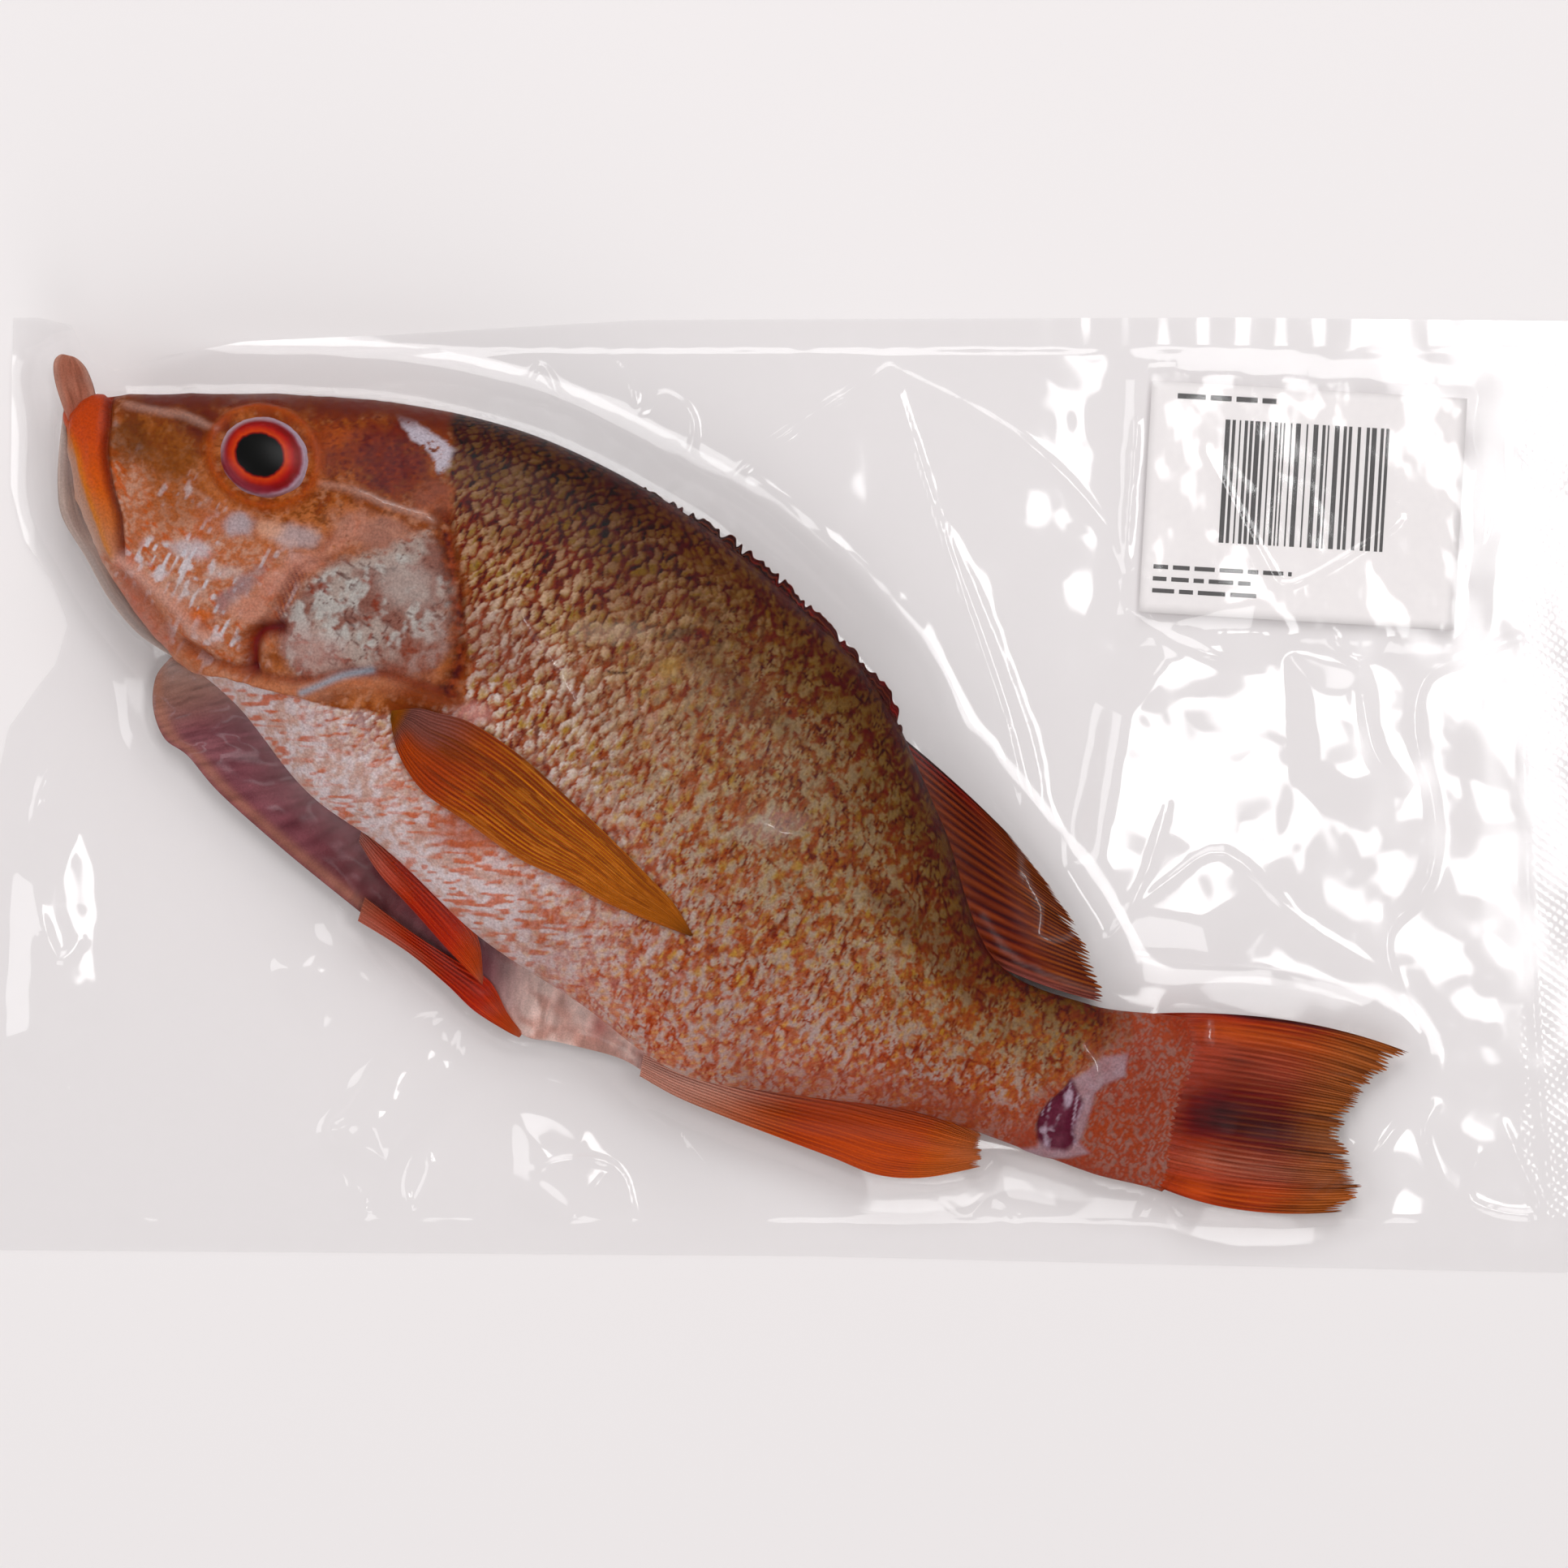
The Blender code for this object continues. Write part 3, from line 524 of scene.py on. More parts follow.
# Tones of the scraped flank from the belly to the back, each as (share of the girth, colour):
# the skin between pockets, the silver dish, the yellow fleck, the rusty rim and its dark edge
FLANK_BASE = [(0.0, "#AA6448"), (0.16, "#A85E44"), (0.30, "#8E4828"), (0.45, "#8C4A2C"),
              (0.62, "#70320F"), (0.78, "#4A1C06"), (0.90, "#3A1204"), (1.0, "#401006")]
FLANK_SILVER = [(0.0, "#D6C6C4"), (0.16, "#D4C8CA"), (0.30, "#CEC4C6"), (0.45, "#D0C4BE"),
                (0.60, "#B8967A"), (0.76, "#8A6850"), (0.90, "#624026"), (1.0, "#502416")]
FLANK_GOLD = [(0.0, "#C08A5E"), (0.20, "#BC8440"), (0.35, "#AC8038"), (0.45, "#A07C34"),
              (0.62, "#846428"), (0.80, "#664814"), (1.0, "#52301A")]
FLANK_RUST = [(0.0, "#B4552C"), (0.16, "#AC4A24"), (0.30, "#9A3C18"), (0.45, "#903614"),
              (0.62, "#76260A"), (0.80, "#4C1402"), (1.0, "#3E0E04")]
FLANK_DARK = [(0.0, "#94381A"), (0.16, "#8A2A0E"), (0.30, "#6A1E08"), (0.45, "#561404"),
              (0.62, "#360A02"), (0.80, "#1E0200"), (1.0, "#1E0402")]
STALK_BASE = [(0.0, "#8A2C10"), (0.25, "#94401E"), (0.45, "#944624"), (0.70, "#803E1C"),
              (0.88, "#5C260E"), (1.0, "#4A1A08")]
STALK_SILVER = [(0.0, "#9A4A30"), (0.25, "#B48878"), (0.5, "#B49684"), (0.75, "#947050"), (1.0, "#643A20")]
STALK_GOLD = [(0.0, "#A84A18"), (0.3, "#AC6428"), (0.6, "#9A6A26"), (1.0, "#5E3A10")]
STALK_RUST = [(0.0, "#84280C"), (0.3, "#A03C14"), (0.6, "#943814"), (0.9, "#581E0A"), (1.0, "#44140A")]
STALK_DARK = [(0.0, "#701600"), (0.3, "#7A2006"), (0.6, "#5C1604"), (0.9, "#2A0802")]
SKIN_TONES = [(FLANK_BASE, STALK_BASE), (FLANK_SILVER, STALK_SILVER), (FLANK_GOLD, STALK_GOLD),
              (FLANK_RUST, STALK_RUST), (FLANK_DARK, STALK_DARK)]
LOOSE_HAIR = [(123.5, 5.0), (125.5, 5.5), (127.8, 6.8)]
# Middle, radii, turn in degrees, colour and strength of the larger marks on the flank
FLANK_PATCHES = [
    ((114.0, -37.0), (9.0, 5.0), 20.0, "#A64C2C", 0.65),
    ((103.5, -15.5), (4.0, 3.0), 40.0, "#B98078", 0.75),
    ((133.5, 19.0), (3.4, 1.4), 55.0, "#38261C", 0.55),
    ((134.5, 12.0), (3.0, 1.8), 60.0, "#A48444", 0.45),
    ((120.0, 12.0), (8.0, 2.2), 30.0, "#C0B8A4", 0.20),
    ((150.0, 14.0), (16.0, 3.0), -12.0, "#4E3620", 0.35),
    ((168.0, -8.0), (7.0, 3.2), 35.0, "#A39A98", 0.28),
    ((100.0, -2.0), (10.0, 9.0), 10.0, "#6E443E", 0.38),
    ((208.0, -14.0), (24.0, 4.0), -18.0, "#4E2410", 0.45),
    ((215.0, -47.0), (30.0, 5.0), 14.0, "#8A3214", 0.45),
    ((232.0, -41.0), (9.0, 4.0), 10.0, "#8C3A1C", 0.50),
]


def head_skin(along, up):
    """Relief in mm and colour of the scaleless head: named patches laid over brown snout skin."""
    rough = mottle(along, up, 3.2, 40)
    fine = mottle(along, up, 1.0, 43)
    colour = mix("#7E3C14", "#A45E36", ease(rough, 0.40, 0.66))
    crumbs = ease(mottle(along + 0.5 * rough, up, 0.8, 45), 0.50, 0.70)
    colour = coats(colour, [
        ("#5A2A0A", 0.65 * crumbs * ease(rough, 0.30, 0.55) * ease(up, -4.0, 6.0)),
        ("#BC8468", 0.5 * ease(mottle(along, up, 1.3, 49), 0.55, 0.75)),
    ])
    cheek = ease(-up - 0.18 * along + 6.0, -4.0, 6.0) * (1 - ease(along, 54.0, 64.0))
    colour = mix(colour, mix("#A8603E", "#B4826C", ease(fine, 0.35, 0.7)), cheek)
    specks = ease(noise(along * 0.7, up * 1.5 + 0.4 * along, 1.1, 44), 0.58, 0.80)
    colour = mix(colour, "#B44E18", 0.80 * specks * cheek * ease(mottle(along, up, 7.0, 46), 0.30, 0.55))
    flakes = ease(noise(along * 1.4, up * 0.7, 1.2, 47), 0.62, 0.82)
    colour = mix(colour, "#C4BEC4", 0.85 * flakes * cheek * ease(mottle(along, up, 9.0, 48), 0.36, 0.56))
    for middle, radii, turn, code, strength in HEAD_PATCHES:
        colour = mix(colour, code, strength * patch(along, up, middle, radii, turn, 1.1, 50))

    nape = patch(along, up, (61.0, 22.0), (17.0, 9.5), 10.0)
    colour = coats(colour, [
        ("#8C3A0A", 0.50 * nape * ease(fine, 0.50, 0.68)),
        ("#3A1202", 0.55 * nape * crumbs),
    ])
    white_nape = within(along + 1.6 * (fine - 0.5), up + 1.6 * (rough - 0.5), NAPE_WHITE, 0.5)
    colour = mix(colour, "#B6AEBA", 0.85 * white_nape * ease(fine, 0.2, 0.4))
    top = stations_at(along)[0] - up
    colour = mix(colour, "#5C261A", 0.90 * (1 - ease(top + 1.5 * (rough - 0.5), 2.5, 6.5))
                 * ease(along, 6.0, 14.0))
    chin = np.interp(along, [0, 20, 36, 58], [0.0, 12.0, 26.0, 40.0])
    colour = mix(colour, "#AE6656", 0.65 * ease(-up - chin + 2.0 * rough, 0.0, 5.0)
                 * ease(along, 20.0, 30.0))

    plate = within(along + 2.4 * (rough - 0.5), up + 2.4 * (fine - 0.5), GILL_PLATE, 1.6)
    plate_tone = mix("#A08E86", "#80564C", ease(mottle(along, up, 5.0, 53), 0.40, 0.62))
    plate_tone = coats(plate_tone, [
        ("#B0ACA8", 0.8 * ease(mottle(along * 1.2, up, 3.6, 56), 0.50, 0.66)),
        ("#7A2C18", 0.75 * ease(mottle(along, up * 1.6, 2.6, 58), 0.62, 0.74)),
    ])
    shred = 1 - np.abs(2 * noise(along * 0.8 + 0.6 * rough, up, 1.5, 57) - 1)
    plate_tone = coats(plate_tone, [
        ("#4E2420", 0.75 * ease(shred, 0.86, 0.98) * ease(rough, 0.35, 0.60)),
        ("#A87C74", 0.6 * patch(along, up, (68.0, -19.0), (8.0, 4.5), 10.0, 0.4, 60)),
        ("#A69690", 0.75 * patch(along, up, (79.0, 2.0), (6.5, 4.5), 0.0, 0.6, 61)),
        ("#82402E", 0.65 * ease(along - 0.5 * up + 4 * (rough - 0.5), 85.0, 95.0)),
    ])
    colour = mix(colour, plate_tone, plate)

    lip_inner = line_reach(along, up, LIP_REAR)[0]
    strip_x = np.interp(-up, [-point[1] for point in LIP_REAR], [point[0] for point in LIP_REAR])
    strip = (1 - ease(along - strip_x, -0.6, 0.6)) * (1 - ease(-up, 20.0, 23.0))
    strip_tone = band(-up + 1.2 * (rough - 0.5), [(-8.0, "#A83C12"), (2.0, "#B8460E"), (9.0, "#C05416"),
                                                  (15.0, "#B8683A"), (21.0, "#B47A60")])
    yellow_lip = 1 - ease(line_reach(along, up, LIP_FRONT)[0], 1.8, 3.6)
    strip_tone = mix(strip_tone, "#C87818", 0.65 * yellow_lip * ease(-up, 0.0, 6.0))
    outer = 1 - ease(line_reach(along, up, LIP_FRONT)[0], 0.6, 2.4)
    strip_tone = mix(strip_tone, "#A98A80", 0.7 * outer * ease(-up, 2.0, 8.0))
    colour = mix(colour, strip_tone, strip)
    mouth = np.exp(-(lip_inner / 0.8) ** 2) * (1 - ease(-up, 21.0, 24.0))
    colour = mix(colour, "#6A2410", 0.8 * mouth)

    slit = near_line(along, up, CHEEK_SLIT, 1.5)
    crease = near_line(along, up, CHEEK_CREASE, 1.0)
    gap = near_line(along, up, GILL_GAP, 1.9)
    peel = near_line(along, up, CHEEK_PEEL, 2.3) * ease(fine, 0.15, 0.35)
    wrinkle = near_line(along, up, CHEEK_WRINKLE, 2.0)
    wrinkle = wrinkle * (0.5 + 0.5 * np.sin(5.2 * (0.8 * along + up) + 3.0 * rough))
    fold = near_line(along, up, GILL_FOLD, 2.2)
    # Painted shadow: a dark line 2.6 mm below the raised gill fold, in the groove it overhangs
    shaded_groove_below_fold = near_line(along, up - 2.6, GILL_FOLD, 0.9)
    crest = near_line(along, up, NAPE_CREST, 0.9)
    jaw = near_line(along, up, JAW_FOLD, 1.5)
    chin_line = near_line(along, up, CHIN_FOLD, 1.2)
    nose = near_line(along, up, NOSE_FOLD, 0.9)
    fold_tone = mix(mix("#A65A3A", "#B87A5A", fine), "#6E2E18", 0.9 * ease(along, 82.0, 91.0))
    colour = coats(colour, [
        (fold_tone, 0.85 * fold),
        # Painted shadow under the gill fold
        ("#6E2412", 0.6 * shaded_groove_below_fold),
        ("#8A94A0", 0.8 * near_line(along, up, BLUE_STREAK, 0.8)),
        # Painted highlight: pale glint lines along the nape crest and the nose fold
        ("#B88878", 0.5 * crest + 0.45 * nose),
        ("#C4988C", 0.6 * jaw),
        ("#8C4A34", 0.5 * chin_line),
        (mix("#BC8876", "#A8604A", fine), 0.75 * peel),
        ("#5E343C", 0.75 * wrinkle),
        ("#7C3A26", 0.35 * crease * (1 - peel)),
        ("#701404", 0.95 * slit),
        # Near-black in the gill opening is painted shade, mixed with the red-brown of the gills
        (mix("#3E0E04", "#8A3A22", ease(fine, 0.3, 0.7)), 0.9 * gap * ease(rough, 0.2, 0.45)),
    ])

    ring = np.hypot((along - EYE_MIDDLE[0]) / 10.4, (up - EYE_MIDDLE[1]) / 8.9)
    colour = mix(colour, "#9A4216", 0.8 * np.exp(-((ring - 1.12) / 0.13) ** 2))
    relief = 0.55 * (rough - 0.5) + 0.25 * (fine - 0.5)
    relief = relief + 0.9 * np.exp(-((ring - 1.10) / 0.12) ** 2)
    relief = relief - 0.4 * np.exp(-((ring - 1.32) / 0.10) ** 2)
    relief = relief + 0.9 * strip * (1 - outer) - 1.7 * mouth + 0.7 * jaw - 0.5 * chin_line
    relief = relief + 0.8 * crest + 0.5 * nose - 1.0 * crease - 3.0 * slit - 2.2 * gap
    relief = relief + 1.2 * fold - 0.7 * shaded_groove_below_fold
    dents = 0.5 + 0.9 * (mottle(along, up, 5.0, 62) - 0.5) + 0.7 * (mottle(along, up, 2.0, 64) - 0.5)
    relief = relief + plate * dents
    return relief, colour


NAPE_WHITE = np.array([(61.0, 32.0), (65.0, 32.6), (70.0, 31.6), (75.5, 31.0), (76.5, 27.0), (74.5, 25.0),
                       (71.5, 27.8), (67.0, 28.6), (63.0, 30.0)])
CHEEK_PEEL = [(64.5, 7.4), (61.3, -0.8), (56.3, -8.1), (54.2, -13.3), (52.7, -18.2)]
CHEEK_WRINKLE = [(58.6, -6.8), (58.5, -12.4), (60.0, -17.8)]
# Middle, radii, turn in degrees, colour and strength of the marks on the head
HEAD_PATCHES = [
    ((22.0, 4.0), (12.0, 6.5), -20.0, "#6E3A12", 0.70),
    ((14.0, 1.0), (4.0, 5.0), -20.0, "#542A08", 0.55),
    ((25.0, 12.5), (9.0, 3.5), 0.0, "#4E1C0A", 0.75),
    ((29.0, -5.0), (6.0, 5.0), 0.0, "#8C4A20", 0.50),
    ((34.5, 1.5), (5.0, 2.6), -20.0, "#A85A24", 0.60),
    ((60.0, 22.0), (15.0, 9.5), 10.0, "#74300A", 0.85),
    ((52.0, 22.0), (5.0, 2.4), 30.0, "#A04A14", 0.60),
    ((67.0, 24.0), (9.0, 8.0), 0.0, "#5C2004", 0.85),
    ((62.0, 19.0), (3.0, 5.0), 40.0, "#542004", 0.55),
    ((76.0, 20.0), (5.0, 4.0), 10.0, "#8E5040", 0.60),
    ((37.4, -4.8), (4.0, 3.0), 0.0, "#A05230", 0.55),
    ((44.0, -24.5), (4.5, 3.0), 0.0, "#A45430", 0.55),
    ((43.5, -3.0), (3.4, 2.4), 20.0, "#A3969C", 0.85),
    ((37.0, -12.0), (4.0, 2.0), 15.0, "#B9B4BC", 0.70),
    ((45.0, -13.5), (4.0, 1.6), 30.0, "#B8A8A6", 0.60),
    ((40.0, -20.0), (4.0, 2.2), 10.0, "#B79C94", 0.50),
    ((54.5, 0.0), (5.0, 2.4), 20.0, "#B4A4A6", 0.65),
    ((49.0, -15.0), (1.8, 8.0), -18.0, "#8C7478", 0.75),
    ((55.0, -10.5), (2.0, 3.0), -15.0, "#C08A78", 0.85),
    ((53.0, -18.0), (4.0, 2.6), 20.0, "#BE8874", 0.80),
    ((48.5, -1.0), (3.2, 2.0), 30.0, "#C29078", 0.80),
    ((58.0, -4.0), (3.4, 2.0), 20.0, "#BC8C80", 0.80),
    ((44.5, -23.0), (2.8, 1.2), 25.0, "#C4602A", 0.80),
    ((36.0, -25.0), (8.0, 3.0), -25.0, "#B06A4A", 0.60),
    ((70.0, 9.0), (9.0, 4.0), 15.0, "#A07468", 0.70),
    ((72.0, -26.0), (6.0, 2.6), 10.0, "#9C6E60", 0.50),
    ((88.0, -14.0), (5.0, 4.0), 30.0, "#8E5C50", 0.60),
]


def stalk_scales(along, up):
    """Small orange-red strokes over lilac-grey skin where the stalk runs out into the tail."""
    sway = 1.4 * noise(along, up, 3.0, 25)
    strokes = 1 - np.abs(2 * noise(along * 1.7 + sway, up * 1.1 + 0.4 * along, 1.0, 74) - 1)
    strokes = ease(strokes, 0.42, 0.80)
    grey = mix("#90665E", "#8A5042", mottle(along, up, 5.0, 75))
    red = mix("#983A16", "#8A3222", mottle(along, up, 4.0, 76))
    colour = mix(grey, red, 0.85 * strokes)
    smooth_edge = np.maximum(1 - ease(up + 43.0, 1.5, 6.0), ease(up + 0.08 * (along - 250.0), -8.0, -4.0))
    return mix(colour, "#8E2E0A", 0.7 * smooth_edge)


def skin(along, up, share):
    """Relief and colour of the whole upper side: head skin gives way to scraped flank skin."""
    flank_relief, flank_colour = flank_skin(along, up, share)
    if along.min() < 125.0:
        head_relief, head_colour = head_skin(along, up)
        shown = scaled(along, up)
        relief = head_relief + (flank_relief - head_relief) * shown
        colour = mix(head_colour, flank_colour, shown)
    else:
        shown = scaled(along, up)
        colour = mix(stalk_scales(along, up), flank_colour, shown)
        relief = flank_relief * shown
    membrane = within(along, up, CUT_MEMBRANE, 0.6)
    gash = within(along, up, TAIL_CUT, 0.5)
    strands = 1 - np.abs(2 * noise(0.9 * along + 0.25 * up, 0.2 * up - 0.1 * along, 1.0, 70) - 1)
    strands = ease(strands, 0.52, 0.86) * ease(mottle(along, up, 3.0, 72), 0.25, 0.45)
    gash_tone = mix("#480E22", "#6C3444", mottle(along, up, 2.0, 71))
    gash_tone = mix(gash_tone, "#A890A0", 0.95 * strands)
    membrane_tone = mix("#A08A94", "#8E6468", mottle(along, up, 3.0, 73))
    colour = coats(colour, [
        (membrane_tone, 0.85 * membrane),
        (gash_tone, gash),
    ])
    relief = relief - 1.2 * gash + 0.4 * membrane
    border = ease(share, 0.0, 0.03) * ease(1 - share, 0.0, 0.03)
    return relief * border, colour


def grid_faces(rows, columns, first=0):
    """Corner numbers of the four-cornered faces of a grid of points laid out row by row."""
    corner = (np.arange(rows - 1)[:, None] * columns + np.arange(columns - 1)).ravel() + first
    return np.stack([corner, corner + 1, corner + columns + 1, corner + columns], axis=1)


def normals_of(points):
    """Unit normals of a grid of points, from the cross product of its two directions."""
    down = np.gradient(points, axis=0)
    over = np.gradient(points, axis=1)
    normal = np.cross(down, over)
    return normal / np.maximum(np.linalg.norm(normal, axis=-1, keepdims=True), 1e-12)


def make_piece(name, points, faces, material, slot, colours=None):
    """A mesh object from whole arrays: points in metres, four-cornered faces, colour per point."""
    points = np.ascontiguousarray(points.reshape(-1, 3), np.float32)
    faces = np.ascontiguousarray(faces, np.int32)
    mesh = bpy.data.meshes.new(name)
    mesh.vertices.add(len(points))
    mesh.vertices.foreach_set("co", points.ravel())
    mesh.loops.add(faces.size)
    mesh.loops.foreach_set("vertex_index", faces.ravel())
    mesh.polygons.add(len(faces))
    mesh.polygons.foreach_set("loop_start", np.arange(0, faces.size, 4, dtype=np.int32))
    mesh.polygons.foreach_set("use_smooth", np.ones(len(faces), bool))
    if colours is not None:
        rgba = np.ones((len(points), 4), np.float32)
        rgba[:, :3] = np.clip(colours.reshape(-1, 3), 0.0, 1.0)
        if slot == "fish_skin":
            rgba[:, :3] = np.clip((rgba[:, :3] - VEIL) / (1 - VEIL), 0.002, 1.0)
        mesh.attributes.new("tone", "FLOAT_COLOR", "POINT").data.foreach_set("color", rgba.ravel())
    mesh.update(calc_edges=True)
    mesh.validate()
    mesh.materials.append(material)
    made = bpy.data.objects.new(name, mesh)
    bpy.context.scene.collection.objects.link(made)
    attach(made, "root")
    return made


def ranged(material, value, low, high, start=0.3, end=0.7):
    """The value, with start to end stretched to low to high."""
    return add(material, "ShaderNodeMapRange", {},
               {"Value": value, 1: start, 2: end, 3: low, 4: high}).outputs[0]


def grained_tone(material, grain, low, high):
    """The tone stored at the mesh's points, made low to high times as bright by a grain."""
    tone = add(material, "ShaderNodeAttribute", {"attribute_name": "tone"}, {}).outputs["Color"]
    return add(material, "ShaderNodeVectorMath", {"operation": "SCALE"},
               {0: tone, "Scale": ranged(material, grain, low, high)}).outputs[0]


# Wet raw skin under film: satin, with a fine grain of 0.5 mm in its tone and gloss. Film and
# wetness lay a veil of light over it, so its tones are set deeper by that much.
VEIL = 0.012
SKIN_GRAIN = 0.5
wet_skin = paint_of("wet_raw_fish_skin")
grain = cloud_of(wet_skin, SKIN_GRAIN, 2.0)
bump = add(wet_skin, "ShaderNodeBump", {},
           {"Height": grain, "Strength": 0.35, "Distance": 0.0003}).outputs[0]
principled(wet_skin, {"Base Color": grained_tone(wet_skin, grain, 0.80, 1.18), "IOR": 1.40, "Normal": bump,
                      "Roughness": ranged(wet_skin, grain, 0.42, 0.60), "Specular IOR Level": 0.09})

SKIN_STEP = 0.33
SKIN_COLUMNS = 300
SKIN_CUTS = [(-1.39, 100.0), (100.0, 185.0), (185.0, 277.39)]
SKIN_NAMES = ["head_skin", "front_flank_skin", "rear_flank_skin"]
upper_points = []
for name, (start, end) in zip(SKIN_NAMES, SKIN_CUTS):
    rows = int((end - start) / SKIN_STEP) + 1
    along, share = np.meshgrid(np.linspace(start, end, rows), np.linspace(0.0, 1.0, SKIN_COLUMNS),
                               indexing="ij")
    up, middle, rise = section(along, share)
    points = to_row(along, up, middle + rise)
    relief, colours = skin(along, up, share)
    points = points + normals_of(points) * relief[..., None] * MM
    upper_points.append(points.reshape(-1, 3))
    piece = make_piece(name, points, grid_faces(rows, SKIN_COLUMNS), wet_skin, "fish_skin", colours)
    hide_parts("fish")


# Lower side: the flank that the fish lies on, pressed flat by its own weight. It carries the same
# scraped skin, seen only from below, so its pattern is drawn in colour alone.
UNDER_ROWS = 190
UNDER_COLUMNS = 110
along, share = np.meshgrid(np.linspace(SKIN_CUTS[0][0], SKIN_CUTS[-1][1], UNDER_ROWS),
                           np.linspace(0.0, 1.0, UNDER_COLUMNS), indexing="ij")
up, middle, rise = section(along, share)
points = to_row(along, up, np.maximum(middle - rise, RESTS_AT))
lower_points = [points.reshape(-1, 3)]
_, colours = flank_skin(along, up, share)
bare_head = band(share, [(0.0, "#A86E5C"), (0.25, "#9A5A40"), (0.75, "#8C4A2C"), (0.92, "#74361E"),
                         (1.0, "#5C281A")])
bare_head = coats(bare_head, [
    ("#A8440E", 1 - ease(along, 6.0, 12.0)),
    ("#7A3A1E", 0.5 * ease(mottle(along, up, 3.2, 40), 0.40, 0.66)),
])
colours = mix(bare_head, colours, scaled(along, up))
piece = make_piece("underside_skin", points, grid_faces(UNDER_ROWS, UNDER_COLUMNS)[:, ::-1], wet_skin,
                   "fish_skin", colours)
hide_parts("fish")


# Eye: a shallow clear dome over a red iris and a black pupil, set in a pale violet rim of skin.
# It is worked out on rings round its middle; each ring's tone follows its distance out.
EYE_RADII = (10.2, 8.7)
EYE_RISE = 2.1
PUPIL_SHARE = 0.50
IRIS_SHARE = 0.80
EYE_RINGS = 90
EYE_SPOKES = 200
out, turn = np.meshgrid(np.linspace(0.004, 1.0, EYE_RINGS), np.linspace(0.0, 2 * np.pi, EYE_SPOKES),
                        indexing="ij")
along = EYE_MIDDLE[0] + EYE_RADII[0] * out * np.cos(turn)
up = EYE_MIDDLE[1] + EYE_RADII[1] * out * np.sin(turn)
dome = EYE_RISE * (1 - out ** 2.2) - 0.5 * out ** 6
height = flank_height(along, up) + dome + 0.35 * np.exp(-((out - 0.86) / 0.05) ** 2)
pupil_out = np.hypot((along - EYE_MIDDLE[0] + 0.9) / EYE_RADII[0], (up - EYE_MIDDLE[1]) / EYE_RADII[1])
threads = noise(turn * 9.0, out * 3.0, 1.0, 80)
lower = ease(-np.sin(turn + 0.5), -0.2, 0.9)
colours = band(pupil_out + 0.03 * (threads - 0.5), [
    (0.0, "#100A1E"), (PUPIL_SHARE - 0.02, "#140C20"), (PUPIL_SHARE + 0.02, "#8A2610"), (0.55, "#BC4016"),
    (0.64, "#AC2C0E"), (0.74, "#84100A"), (IRIS_SHARE, "#740C0C"), (0.86, "#7E3038"), (0.92, "#9A7C8A"),
    (1.0, "#8A5048")])
rear_side = ease(np.cos(turn - 0.7), 0.1, 0.9)
front_corner = ease(np.cos(turn - 2.7), 0.3, 0.95)
colours = coats(colours, [
    ("#7A3440", 0.65 * lower * ease(pupil_out, 0.62, 0.76) * (1 - ease(out, 0.86, 0.92))),
    ("#AEA0B2", 0.8 * rear_side * np.exp(-((out - 0.91) / 0.055) ** 2)),
    ("#B49EA8", 0.8 * front_corner * np.exp(-((out - 0.91) / 0.06) ** 2)),
    ("#8A4A18", ease(out, 0.955, 0.99)),
])

# Wet eye: the smoothest and glossiest face of the fish, with fine veins 0.8 mm apart
EYE_VEINS = 0.8
eye_shine = paint_of("wet_fish_eye")
tone = grained_tone(eye_shine, cloud_of(eye_shine, EYE_VEINS, 2.0), 0.88, 1.10)
principled(eye_shine, {"Base Color": tone, "Roughness": 0.28, "IOR": 1.38, "Specular IOR Level": 0.12})
eye_points = to_row(along, up, height)
piece = make_piece("eye", eye_points, grid_faces(EYE_RINGS, EYE_SPOKES)[:, ::-1], eye_shine, "fish_skin",
                   colours)
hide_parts("fish")
upper_points.append(eye_points.reshape(-1, 3))


# Fins: thin skin stretched over bony rays, folded against the body by the film. Each is a closed
# sheet whose upper side is ribbed by its rays, with an edge that frays between the ray tips.
def closed_sheet(upper, lower):
    """Points and faces of a thin plate between two grids of points, closed round its border."""
    rows, columns = upper.shape[:2]
    below = rows * columns
    faces = [grid_faces(rows, columns), grid_faces(rows, columns, below)[:, ::-1]]
    number = np.arange(below).reshape(rows, columns)
    ring = np.concatenate([number[0, :-1], number[:-1, -1], number[-1, :0:-1], number[:0:-1, 0]])
    after = np.roll(ring, -1)
    faces.append(np.stack([after, ring, ring + below, after + below], axis=1))
    return np.concatenate([upper.reshape(-1, 3), lower.reshape(-1, 3)]), np.concatenate(faces)


def fan(root, edge, bow=0.0):
    """Places of a fin that opens out: straight from root to edge, its two end rays bowed by bow."""
    def place(s, t):
        """Places for the share s from root to edge and the share t from the first ray to the last."""
        start = smooth(root, t * (len(root) - 1))
        end = smooth(edge, t * (len(edge) - 1))
        spread = start + (end - start) * s[..., None]
        spread[..., 1] += bow * 4 * s * (1 - s) * (1 - 2 * t)
        return spread
    return place


def leaf(first, last):
    """Places of a folded fin: its rays run side by side from one end of two long sides to the other."""
    def place(s, t):
        """Places for the share s along the rays and the share t from the first side to the last."""
        side = smooth(first, s * (len(first) - 1))
        other = smooth(last, s * (len(last) - 1))
        return side + (other - side) * t[..., None]
    return place


RAY_STEPS = 8


